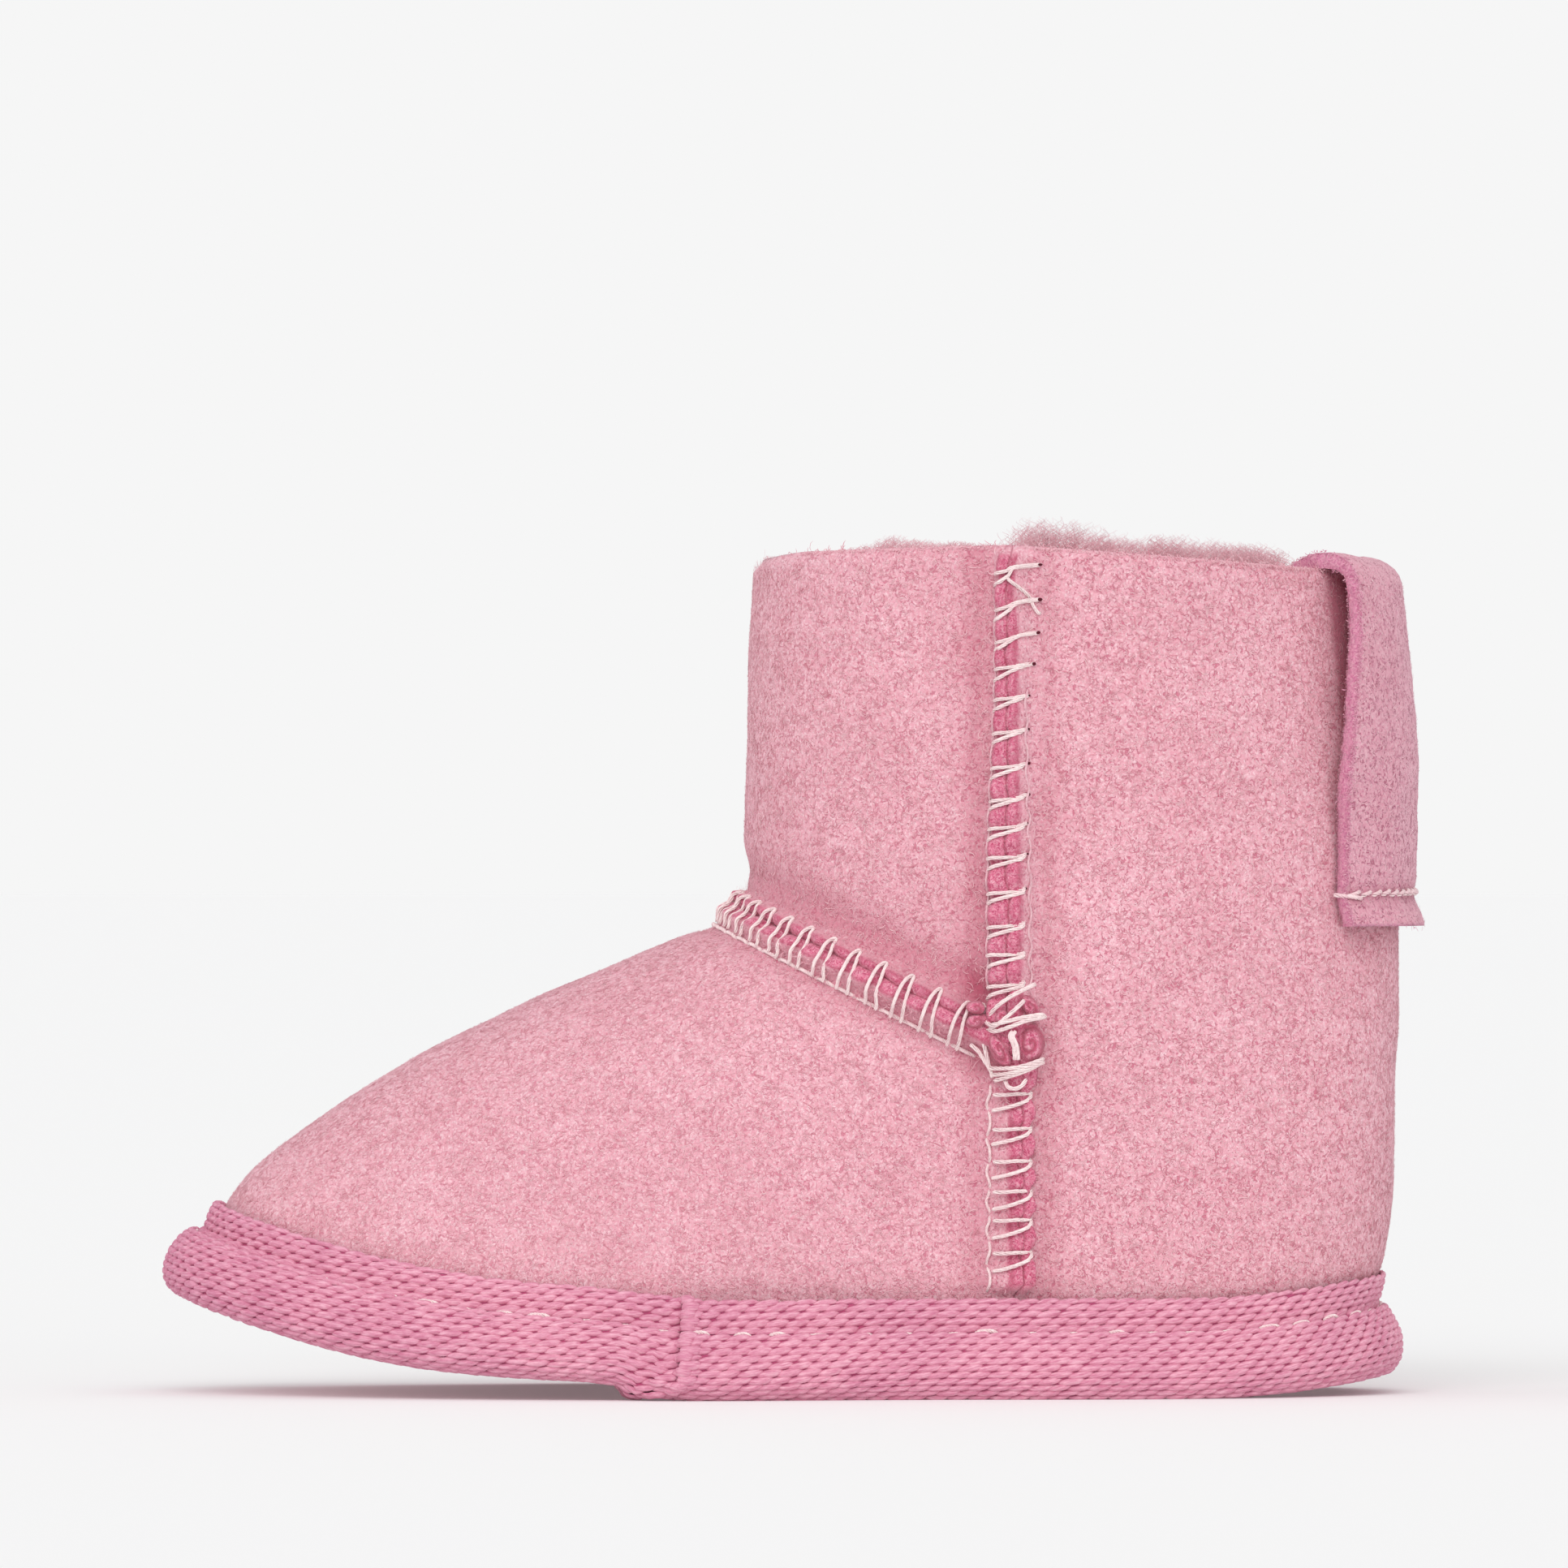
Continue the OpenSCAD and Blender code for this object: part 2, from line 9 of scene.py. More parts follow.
import bpy
import numpy as np
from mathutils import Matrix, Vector


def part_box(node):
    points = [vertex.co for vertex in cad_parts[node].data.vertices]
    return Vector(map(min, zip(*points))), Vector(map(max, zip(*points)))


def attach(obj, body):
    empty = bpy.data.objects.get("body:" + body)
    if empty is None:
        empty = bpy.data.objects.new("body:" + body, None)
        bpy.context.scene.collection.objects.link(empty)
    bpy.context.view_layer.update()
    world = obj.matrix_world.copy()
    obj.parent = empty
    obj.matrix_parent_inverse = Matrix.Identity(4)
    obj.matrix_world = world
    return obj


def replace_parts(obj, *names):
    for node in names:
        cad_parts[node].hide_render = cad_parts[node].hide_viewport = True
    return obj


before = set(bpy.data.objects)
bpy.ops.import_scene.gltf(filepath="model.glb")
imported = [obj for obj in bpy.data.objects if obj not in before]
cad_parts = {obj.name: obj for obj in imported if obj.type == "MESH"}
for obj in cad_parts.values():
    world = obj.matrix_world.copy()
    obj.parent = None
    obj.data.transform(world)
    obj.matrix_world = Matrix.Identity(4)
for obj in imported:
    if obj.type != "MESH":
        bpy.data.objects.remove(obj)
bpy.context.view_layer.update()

MM = 0.001


def node_box(node):
    low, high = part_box(node)
    return np.array(low) / MM, np.array(high) / MM


# ---- Sizes: three are read from the CAD's boxes, the others repeat the CAD's numbers ----
KNOT_BOX = node_box("seam_knot_left")
TAB_BOX = node_box("pull_tab")

BOOT_H = 89.0
SEAM_X = round(float(KNOT_BOX[0][0] + KNOT_BOX[1][0]) / 2, 1)
JUNCTION_Z = round(float(KNOT_BOX[0][2] + KNOT_BOX[1][2]) / 2, 1)
TAB_END_Z = float(TAB_BOX[0][2])
WAIST_W, COLLAR_W, BALL_GAIN = 23.0, 26.0, 7.5
CREASE = np.array([-3.9, 50.8])
TOE_X, HEEL_X = -60.0, 61.2
COLLAR_FRONT_Z, COLLAR_BACK_Z = BOOT_H - 0.7, BOOT_H - 2.6
ROCKER, TOE_ROLL, HEEL_ROLL = 0.004, -16.0, 40.0
FRONT_LIFT, LIFT_X, LIFT_W = 1.3, -7.0, 16.0
GROOVE_H, TAPE_TOP_H, TAPE_T = 7.1, 10.4, 1.05
HIDE_T, PILE_T = 1.4, 5.0
LIP_H = 1.9
TAB_WRAP, TAB_FLARE, TAB_T = 30.5, 5.0, 1.6

# The hide panels, by the name that the formulas use, and the two sides, by the sign of y.
PANEL_NODES = {"vamp": "vamp", "shaft": "shaft_front", "heel": "heel_panel"}
SIDE_NAMES = {-1: "left", 1: "right"}
PANEL_STEP = 0.6


# ---- Small mathematics ----
def smooth(t):
    t = np.clip(t, 0, 1)
    return t * t * (3 - 2 * t)


def mix(a, b, t):
    return a + (b - a) * t


def unit(v):
    return v / np.maximum(np.linalg.norm(v, axis=-1, keepdims=True), 1e-12)


def sind(a):
    return np.sin(np.radians(a))


def cosd(a):
    return np.cos(np.radians(a))


def bezier(points, t):
    p = [np.asarray(q, float) for q in points]
    t = np.asarray(t, float)[..., None]
    return (1 - t) ** 3 * p[0] + 3 * t * (1 - t) ** 2 * p[1] + 3 * t * t * (1 - t) * p[2] + t**3 * p[3]


def noise(p, scale, seed=0):
    """Smooth noise between -1 and 1 at points p, the same on every run."""
    q = np.asarray(p, float) / scale + 1000.0
    cell = np.floor(q).astype(np.int64)
    f = smooth(q - cell)
    total = 0
    for dx in (0, 1):
        for dy in (0, 1):
            for dz in (0, 1):
                key = (cell[..., 0] + dx) * 73856093 ^ (cell[..., 1] + dy) * 19349663
                key = key ^ (cell[..., 2] + dz) * 83492791 ^ (seed + 11) * 2654435761
                key = ((key ^ (key >> 13)) * 1274126177) & 0xFFFFFFFF
                value = ((key ^ (key >> 16)) & 0xFFFF) / 32767.5 - 1
                wx = f[..., 0] if dx else 1 - f[..., 0]
                wy = f[..., 1] if dy else 1 - f[..., 1]
                wz = f[..., 2] if dz else 1 - f[..., 2]
                total = total + value * wx * wy * wz
    return total


# ---- The bootie's surface, by the same formulas as the CAD ----
def rise(x):
    curl = ROCKER * (np.maximum(0, TOE_ROLL - x) ** 2 + np.maximum(0, x - HEEL_ROLL) ** 2)
    return curl + FRONT_LIFT * smooth((LIFT_X - x) / LIFT_W)


def rise_slope(x):
    s = np.clip((LIFT_X - x) / LIFT_W, 0, 1)
    curl = 2 * ROCKER * (np.maximum(0, x - HEEL_ROLL) - np.maximum(0, TOE_ROLL - x))
    return curl - 6 * s * (1 - s) * FRONT_LIFT / LIFT_W


def sole_up(x):
    s = rise_slope(x)
    return np.stack([-s, 0 * s, 1 + 0 * s], -1) / np.sqrt(1 + s * s)[..., None]


def under_x(x):
    first = x - GROOVE_H * sole_up(x)[..., 0]
    return x - GROOVE_H * sole_up(first)[..., 0]


def groove_z(x):
    g = under_x(x)
    return rise(g) + GROOVE_H * sole_up(g)[..., 2]


TOE_Z = float(groove_z(np.array(TOE_X)))
HEEL_Z = float(groove_z(np.array(HEEL_X)))


def profile(patch, inset=0.0):
    cx, cz = CREASE
    if patch == "vamp":
        return [
            (TOE_X + 1.1 * inset, TOE_Z),
            (TOE_X + 2.7 + 1.1 * inset, TOE_Z + 12.8 - 0.45 * inset),
            (cx - 19.8 + inset, cz - 6.9 - 0.77 * inset),
            (cx + inset, cz - 0.77 * inset),
        ]
    if patch == "shaft":
        return [
            (cx + inset, cz - 0.77 * inset),
            (cx - 0.4 + inset, mix(cz, COLLAR_FRONT_Z, 0.33) - 0.3 * inset),
            (cx - 0.5 + inset, mix(cz, COLLAR_FRONT_Z, 0.67)),
            (cx + 0.3 + inset, COLLAR_FRONT_Z),
        ]
    return [
        (HEEL_X - inset, HEEL_Z),
        (HEEL_X + 5.9 - inset, HEEL_Z + 15.3),
        (HEEL_X + 3.7 - inset, mix(HEEL_Z, COLLAR_BACK_Z, 0.617)),
        (HEEL_X + 0.2 - inset, COLLAR_BACK_Z),
    ]


def side_z(patch, t):
    low = JUNCTION_Z if patch == "shaft" else GROOVE_H
    high = JUNCTION_Z if patch == "vamp" else BOOT_H
    return mix(low, high, t)


def half_w(z):
    return mix(WAIST_W, COLLAR_W, smooth(z / BOOT_H))


def skin(patch, t, a, inset=0.0):
    """A point of the upper: t from its lower to its upper edge, a the angle around it."""
    t, a = np.broadcast_arrays(np.asarray(t, float), np.asarray(a, float))
    c = cosd(a)
    middle = bezier(profile(patch, inset), t)
    x = SEAM_X + (middle[..., 0] - SEAM_X) * c
    z_side = side_z(patch, t)
    gain = BALL_GAIN * (1 - t) * smooth(c / 0.6) if patch == "vamp" else 0
    full = 1.0 if patch == "shaft" else mix(0.78, 1, t)
    s = sind(a)
    y = (half_w(z_side) - inset + gain) * np.sign(s) * np.abs(s) ** full
    z = mix(z_side, middle[..., 1], c)
    if patch != "shaft":
        bx, bz = profile(patch, inset)[0]
        z = z + (1 - t) ** 2 * (groove_z(mix(SEAM_X, bx, c)) - mix(GROOVE_H, bz, c))
    return np.stack([x, y, z], -1)


def skin_normal(patch, t, a):
    along = skin(patch, t + 0.01, a) - skin(patch, t - 0.01, a)
    around = skin(patch, t, a + 0.5) - skin(patch, t, a - 0.5)
    n = unit(np.cross(around, along))
    p = skin(patch, t, a) - np.array([SEAM_X, 0, 0])
    inward = (n[..., 0] * p[..., 0] + n[..., 1] * p[..., 1]) < 0
    return np.where(inward[..., None], -n, n)


def patch_height(patch, c):
    if patch == "vamp":
        return mix(JUNCTION_Z - GROOVE_H, 64, c)
    if patch == "shaft":
        return mix(BOOT_H - JUNCTION_Z, COLLAR_FRONT_Z - CREASE[1], c)
    return BOOT_H - GROOVE_H + 0 * c


def patch_depth(patch, t):
    return np.abs(bezier(profile(patch), t)[..., 0] - SEAM_X)


def instep_normal(a):
    return unit(skin_normal("vamp", 1.0, a) + skin_normal("shaft", 0.0, a))


# ---- The sole's edge: n out along the curved underside, h up from it ----
def edge_frame(patch, a):
    p = skin(patch, 0.0, a)
    around = skin(patch, 0.0, a + 0.5) - skin(patch, 0.0, a - 0.5)
    flat = unit(np.stack([around[..., 1], -around[..., 0], 0 * around[..., 0]], -1))
    dot = flat[..., 0] * (p[..., 0] - SEAM_X) + flat[..., 1] * p[..., 1]
    out = np.where((dot < 0)[..., None], -flat, flat)
    return p, out, under_x(p[..., 0])


def edge_point(edge, n, h):
    p, out, g = edge
    x = g + n * out[..., 0] * sole_up(g)[..., 2]
    ground = np.stack([x, p[..., 1] + n * out[..., 1], rise(x)], -1)
    return ground + np.asarray(h)[..., None] * sole_up(x)


def wall_lean(patch, a, edge):
    p, out, g = edge
    up = sole_up(g)
    way = np.stack([out[..., 0] * up[..., 2], out[..., 1], out[..., 0] * up[..., 2] * rise_slope(g)], -1)
    rate = ((skin(patch, 0.04, a) - p) * up).sum(-1) / 0.04
    return ((skin(patch, (TAPE_TOP_H - GROOVE_H) / rate, a) - p) * way).sum(-1)


# ---- Meshes ----
def mesh_object(name, points, faces, finish, body="bootie", slot="suede", values=None, flat=False):
    """A piece from points in millimetres and quads or triangles, riding on a body.
    values holds numbers per point that the materials read."""
    points = np.asarray(points, float).reshape(-1, 3) * MM
    groups = [np.asarray(f) for f in (faces if isinstance(faces, list) else [faces]) if len(f)]
    mesh = bpy.data.meshes.new(name)
    mesh.vertices.add(len(points))
    mesh.vertices.foreach_set("co", points.astype(np.float32).ravel())
    loops = np.concatenate([g.ravel() for g in groups])
    sizes = np.concatenate([np.full(len(g), g.shape[1]) for g in groups])
    mesh.loops.add(len(loops))
    mesh.loops.foreach_set("vertex_index", loops.astype(np.int32))
    mesh.polygons.add(len(sizes))
    mesh.polygons.foreach_set("loop_start", (np.cumsum(sizes) - sizes).astype(np.int32))
    mesh.polygons.foreach_set("use_smooth", np.full(len(sizes), not flat))
    mesh.update(calc_edges=True)
    mesh.validate()
    for key, value in (values or {}).items():
        layer = mesh.attributes.new(key, "FLOAT", "POINT")
        layer.data.foreach_set("value", np.asarray(value, np.float32).ravel())
    mesh.materials.append(finish)
    piece = bpy.data.objects.new(name, mesh)
    bpy.context.scene.collection.objects.link(piece)
    if body:
        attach(piece, body)
    return piece


def grid_faces(rows, cols, turned=False, closed=False):
    i, j = np.meshgrid(np.arange(rows - 1), np.arange(cols if closed else cols - 1), indexing="ij")
    k = (j + 1) % cols
    quads = np.stack([i * cols + j, i * cols + k, (i + 1) * cols + k, (i + 1) * cols + j], -1)
    quads = quads.reshape(-1, 4)
    return quads[:, ::-1] if turned else quads


def closed_sheet(outer, inner, turned=False):
    """Points and quads of a closed sheet between two grids of the same size."""
    rows, cols = outer.shape[:2]
    n = rows * cols
    rim = np.concatenate([
        np.arange(cols),
        np.arange(1, rows) * cols + cols - 1,
        (rows - 1) * cols + np.arange(cols - 2, -1, -1),
        np.arange(rows - 2, 0, -1) * cols,
    ])
    after = np.roll(rim, -1)
    walls = np.stack([after, rim, rim + n, after + n], -1)
    faces = np.concatenate([
        grid_faces(rows, cols),
        grid_faces(rows, cols, turned=True) + n,
        walls,
    ])
    points = np.concatenate([outer.reshape(-1, 3), inner.reshape(-1, 3)])
    return points, faces[:, ::-1] if turned else faces


def resample(path, step):
    """A smooth path through the given points, with points a step apart."""
    path = np.asarray(path, float)
    padded = np.concatenate([[2 * path[0] - path[1]], path, [2 * path[-1] - path[-2]]])
    u = np.linspace(0, 1, 9)[:-1][:, None]
    dense = []
    for k in range(len(path) - 1):
        a, b, c, d = padded[k : k + 4]
        square, cube = 2 * a - 5 * b + 4 * c - d, 3 * b - a - 3 * c + d
        dense.append(0.5 * (2 * b + (c - a) * u + square * u**2 + cube * u**3))
    dense = np.concatenate(dense + [path[-1:]])
    length = np.concatenate([[0], np.cumsum(np.linalg.norm(np.diff(dense, axis=0), axis=1))])
    want = np.linspace(0, length[-1], max(4, int(round(length[-1] / step)) + 1))
    return np.stack([np.interp(want, length, dense[:, k]) for k in range(3)], -1)


def sweep_frame(path):
    """Tangents, normals and binormals that don't twist along a path."""
    tangent = unit(np.gradient(path, axis=0))
    normal = np.zeros_like(path)
    start = np.cross(tangent[0], [0.3, 0.2, 0.93])
    if np.linalg.norm(start) < 0.2:
        start = np.cross(tangent[0], [0.9, 0.1, 0.2])
    normal[0] = start / np.linalg.norm(start)
    for k in range(1, len(path)):
        v = normal[k - 1] - tangent[k] * np.dot(normal[k - 1], tangent[k])
        normal[k] = v / np.linalg.norm(v)
    return tangent, normal, np.cross(tangent, normal)


def tube(path, radius, sides):
    _, n, b = sweep_frame(path)
    w = np.linspace(0, 2 * np.pi, sides, endpoint=False)
    ring = np.cos(w)[None, :, None] * n[:, None] + np.sin(w)[None, :, None] * b[:, None]
    points = path[:, None] + ring * np.broadcast_to(radius, len(path))[:, None, None]
    return points.reshape(-1, 3), grid_faces(len(path), sides, closed=True)


class Pile:
    """Collects many small shapes into one piece."""

    def __init__(self):
        self.points, self.faces, self.values, self.count = [], [], {}, 0

    def add(self, points, faces, **values):
        points = np.asarray(points).reshape(-1, 3)
        self.faces.append(np.asarray(faces) + self.count)
        self.points.append(points)
        for key, value in values.items():
            self.values.setdefault(key, []).append(np.broadcast_to(value, len(points)).astype(float))
        self.count += len(points)

    def piece(self, name, finish, **options):
        values = {key: np.concatenate(value) for key, value in self.values.items()}
        return mesh_object(name, np.concatenate(self.points), self.faces, finish, values=values, **options)


def replace_thread(pile, node, body="bootie"):
    """The collected threads as one piece in the place of the CAD's node."""
    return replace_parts(pile.piece(node, THREAD, body=body, slot="thread"), node)


def twisted_thread(pile, path, thick=0.42, pitch=4.2, step=0.2, tint=0.0):
    """A loosely twisted thread of five plies laid along a path."""
    path = resample(path, step)
    _, n, b = sweep_frame(path)
    s = np.arange(len(path)) * step
    taper = np.clip(np.minimum(s, s[::-1]) / 0.3 + 0.35, 0, 1)
    for ply in range(5):
        w = 2 * np.pi * (s / pitch + ply / 5) + 0.35 * np.sin(s * 1.7 + ply)
        centre = path + (np.cos(w)[:, None] * n + np.sin(w)[:, None] * b) * thick * 0.3
        points, faces = tube(centre, thick * 0.21 * taper, 5)
        pile.add(points, faces, tint=tint + 0.09 * ply)


# ---- Materials ----
class Finish:
    """A node material with a few shorthands."""

    def __init__(self, name):
        self.material = bpy.data.materials.new(name)
        self.material.use_nodes = True
        self.tree = self.material.node_tree
        self.surface = self.tree.nodes["Principled BSDF"]
        self.place = self.node("ShaderNodeTexCoord").outputs["Object"]

    def node(self, kind, settings=None, **inputs):
        made = self.tree.nodes.new(kind)
        for key, value in (settings or {}).items():
            setattr(made, key, value)
        for key, value in inputs.items():
            socket = made.inputs[int(key[1:])] if key[0] == "i" and key[1:].isdigit() else made.inputs[key]
            self.set(socket, value)
        return made

    def set(self, socket, value):
        if isinstance(value, bpy.types.NodeSocket):
            self.tree.links.new(value, socket)
        elif value is not None:
            socket.default_value = value

    def value(self, name):
        return self.node("ShaderNodeAttribute", {"attribute_name": name}).outputs["Fac"]

    def math(self, operation, a, b=None, clamp=False):
        settings = {"operation": operation, "use_clamp": clamp}
        return self.node("ShaderNodeMath", settings, i0=a, i1=b).outputs[0]

    def noise(self, size_mm, detail=2.0, rough=0.55, place=None, distort=0.0, shift=0.0):
        place = place or self.place
        if shift:
            moved = self.node("ShaderNodeVectorMath", {"operation": "ADD"}, i0=place, i1=(shift, 0, 0))
            place = moved.outputs[0]
        made = self.node("ShaderNodeTexNoise", None, Vector=place, Scale=1000 / size_mm,
                         Detail=detail, Roughness=rough, Distortion=distort)
        return made.outputs["Fac"]

    def ramp(self, factor, *stops):
        made = self.node("ShaderNodeValToRGB", None, Fac=factor)
        ramp = made.color_ramp
        while len(ramp.elements) < len(stops):
            ramp.elements.new(0.5)
        for element, (position, colour) in zip(ramp.elements, stops):
            element.position = position
            element.color = colour if len(colour) == 4 else (*colour, 1)
        return made.outputs["Color"]

    def blend(self, factor, a, b, kind="MIX"):
        made = self.node("ShaderNodeMix", {"data_type": "RGBA", "blend_type": kind})
        self.set(made.inputs[0], factor)
        self.set(made.inputs[6], a)
        self.set(made.inputs[7], b)
        return made.outputs[2]

    def bump(self, height, distance_mm, strength=1.0, under=None):
        made = self.node("ShaderNodeBump", None, Height=height, Distance=distance_mm * MM, Strength=strength)
        if under is not None:
            self.set(made.inputs["Normal"], under)
        return made.outputs["Normal"]

    def worms(self, size_mm, width, shift, place):
        """Thin curled lines, 1 along their middle: where a soft noise crosses its mean."""
        soft = self.noise(size_mm, 0.0, 0.5, place, 0.9, shift)
        away = self.math("ABSOLUTE", self.math("SUBTRACT", soft, 0.5))
        line = self.math("SUBTRACT", 1.0, self.math("DIVIDE", away, width), clamp=True)
        gate = self.noise(size_mm * 1.7, 1.0, 0.5, place, 0.0, shift + 0.31)
        gate = self.math("MULTIPLY", self.math("SUBTRACT", gate, 0.3), 3.2, clamp=True)
        return self.math("MULTIPLY", line, gate)

    def finish(self, colour, rough=0.9, normal=None, sheen=0.0, sheen_tint=(1, 1, 1, 1), glow=0.0):
        """Sets the surface; glow is the share of light that passes through thin fibres."""
        self.set(self.surface.inputs["Base Color"], colour)
        self.set(self.surface.inputs["Roughness"], rough)
        self.set(self.surface.inputs["Specular IOR Level"], 0.12)
        self.set(self.surface.inputs["Sheen Weight"], sheen)
        self.set(self.surface.inputs["Sheen Tint"], sheen_tint)
        if normal is not None:
            self.set(self.surface.inputs["Normal"], normal)
        if glow:
            through = self.node("ShaderNodeBsdfTranslucent", None, Color=colour)
            both = self.node("ShaderNodeMixShader", None, Fac=glow, i1=self.surface.outputs[0],
                             i2=through.outputs[0])
            output = self.tree.nodes["Material Output"]
            self.tree.links.new(both.outputs[0], output.inputs["Surface"])
        return self.material


def srgb(r, g, b):
    """A colour as it looks on screen, 0 to 255, as the linear values materials take."""
    c = np.array([r, g, b]) / 255
    return tuple(np.where(c <= 0.04045, c / 12.92, ((c + 0.055) / 1.055) ** 2.4)) + (1.0,)


def mix_colour(a, b, t):
    return tuple(mix(np.array(a), np.array(b), t))


def suede_finish(name, ground, fibre, deep, raw, raw_deep, pits):
    """Napped hide: pale curled fibres, small deep pits between them, and deeper raw edges."""
    f = Finish(name)
    nap = f.math("MAXIMUM", f.worms(0.7, 0.05, 0.0, f.place), f.worms(0.52, 0.045, 0.17, f.place))
    soft = f.noise(0.26, 3.0, 0.6)
    hollow = f.noise(0.5, 2.0, 0.6, None, 1.1, 0.7)
    broad, medium = f.math("MULTIPLY", f.noise(9.0, 3.0), 0.6), f.math("MULTIPLY", f.noise(2.2, 2.0), 0.4)
    mottle = f.math("ADD", broad, medium)
    shaded = tuple(np.array(ground) * (0.98, 0.9, 0.93, 1))
    colour = f.ramp(soft, (0.34, shaded), (0.5, ground), (0.68, fibre))
    colour = f.blend(f.math("MULTIPLY", nap, 0.55), colour, fibre)
    patches = f.ramp(mottle, (0.36, (0.96, 0.92, 0.93)), (0.62, (1.02, 1.04, 1.04)))
    colour = f.blend(1.0, colour, patches, "MULTIPLY")
    # The texture is calmer towards the toe, and its colour is darker there: painted shade.
    x = f.node("ShaderNodeSeparateXYZ", None, Vector=f.place).outputs[0]
    share = f.math("DIVIDE", f.math("ADD", x, 0.02), 0.05)
    strong = f.ramp(share, (0.0, (0.72, 0.72, 0.72)), (1.0, (1, 1, 1)))
    pit = f.ramp(hollow, (0.365, (pits, pits, pits)), (0.435, (0, 0, 0)))
    pit = f.math("MULTIPLY", pit, strong)
    toe = f.ramp(strong, (0.72, (0.96, 0.94, 0.95)), (1.0, (1.01, 1.0, 1.01)))
    colour = f.blend(1.0, colour, toe, "MULTIPLY")
    colour = f.blend(pit, colour, deep)
    grain = f.noise(0.34, 3.0, 0.7, None, 1.2)
    cut = f.ramp(grain, (0.36, raw_deep), (0.5, raw), (0.68, mix_colour(raw, fibre, 0.6)))
    colour = f.blend(f.value("edge"), colour, cut)
    # Painted shade, from the panels' shade value: beside the seams, in crevices, on raw edges' borders and
    # under the tab.
    colour = f.blend(f.value("shade"), colour, tuple(np.array(deep) * (0.78, 0.55, 0.62, 1)))
    height = f.math("ADD", f.math("MULTIPLY", nap, 0.5), f.math("MULTIPLY", soft, 0.5))
    height = f.math("SUBTRACT", height, pit)
    return f.finish(colour, 0.95, f.bump(height, 0.09, 0.7), 0.4, srgb(255, 226, 234))


def fibre_finish(name, dark, middle, light, glow, painted_glow=0.0):
    """Loose fibres, each with a tint of its own; the last number is a little painted glow, light they give
    off in the place of what real fibres pass between them."""
    f = Finish(name)
    colour = f.ramp(f.value("tint"), (0.0, dark), (0.5, middle), (1.0, light))
    f.set(f.surface.inputs["Emission Color"], colour)
    f.set(f.surface.inputs["Emission Strength"], painted_glow)
    return f.finish(colour, 0.9, None, 0.15, glow=glow)


def tape_finish():
    """Woven yarn: fine filaments along each grain, over a deep-pink ground that is painted shade, where
    grains dip and between them.
    """
    f = Finish("woven_tape")
    along = f.node("ShaderNodeCombineXYZ", None, X=f.math("MULTIPLY", f.value("along"), 0.0009),
                   Y=f.math("MULTIPLY", f.value("across"), 0.006), Z=f.value("row"))
    filament = f.noise(1.0, 3.0, 0.65, along.outputs[0])
    yarn = f.ramp(filament, (0.34, srgb(205, 126, 152)), (0.5, srgb(221, 152, 174)),
                  (0.66, srgb(235, 180, 196)))
    # Painted shade: deep pink where a grain dips under its neighbour and on the bed between grains.
    colour = f.blend(f.value("depth"), srgb(184, 84, 120), yarn)
    broad = f.ramp(f.noise(8.0, 2.0), (0.36, (0.95, 0.91, 0.94)), (0.62, (1.02, 1.03, 1.02)))
    colour = f.blend(1.0, colour, broad, "MULTIPLY")
    # Darker towards the toe: painted shade.
    x = f.node("ShaderNodeSeparateXYZ", None, Vector=f.place).outputs[0]
    toe = f.math("DIVIDE", f.math("ADD", x, 0.066), 0.034, clamp=True)
    colour = f.blend(1.0, colour, f.ramp(toe, (0.0, (0.9, 0.8, 0.86)), (1.0, (1, 1, 1))), "MULTIPLY")
    return f.finish(colour, 0.8, f.bump(filament, 0.1, 0.7), 0.2, srgb(255, 214, 230))


def thread_finish():
    f = Finish("thread")
    colour = f.ramp(f.value("tint"), (0.0, srgb(250, 234, 232)), (0.4, srgb(243, 219, 220)),
                    (1.0, srgb(230, 184, 194)))
    streak = f.ramp(f.noise(0.3, 2.0), (0.35, (0.91, 0.86, 0.87)), (0.6, (1.02, 1.02, 1.02)))
    return f.finish(f.blend(1.0, colour, streak, "MULTIPLY"), 0.6, f.bump(f.noise(0.16, 2.0), 0.05), 0.25)


SUEDE = suede_finish("suede", srgb(227, 167, 179), srgb(240, 204, 210), srgb(200, 110, 132),
                     srgb(220, 124, 152), srgb(180, 66, 100), 0.85)
TAB_SUEDE = suede_finish("tab_leather", srgb(218, 156, 172), srgb(229, 186, 194), srgb(176, 96, 120),
                         srgb(213, 140, 168), srgb(190, 104, 140), 0.95)
# The wool's last number is a little painted glow from its fibres.
WOOL = fibre_finish("wool", srgb(230, 176, 188), srgb(242, 204, 212), srgb(252, 228, 232), 0.45, 0.16)
NAP = fibre_finish("suede_nap", srgb(214, 142, 158), srgb(229, 176, 187), srgb(240, 203, 209), 0.3)
TAB_NAP = fibre_finish("tab_nap", srgb(200, 124, 152), srgb(218, 156, 178), srgb(232, 184, 198), 0.2)
TAPE = tape_finish()
THREAD = thread_finish()

# ---- Seams ----
# Each seam gives a frame at a distance s along it: its line, its direction, the ways along
# the panels in front and behind, and the way out. In front is the toe's side.
SIDE_PITCH, INSTEP_PITCH = 3.3, 3.15


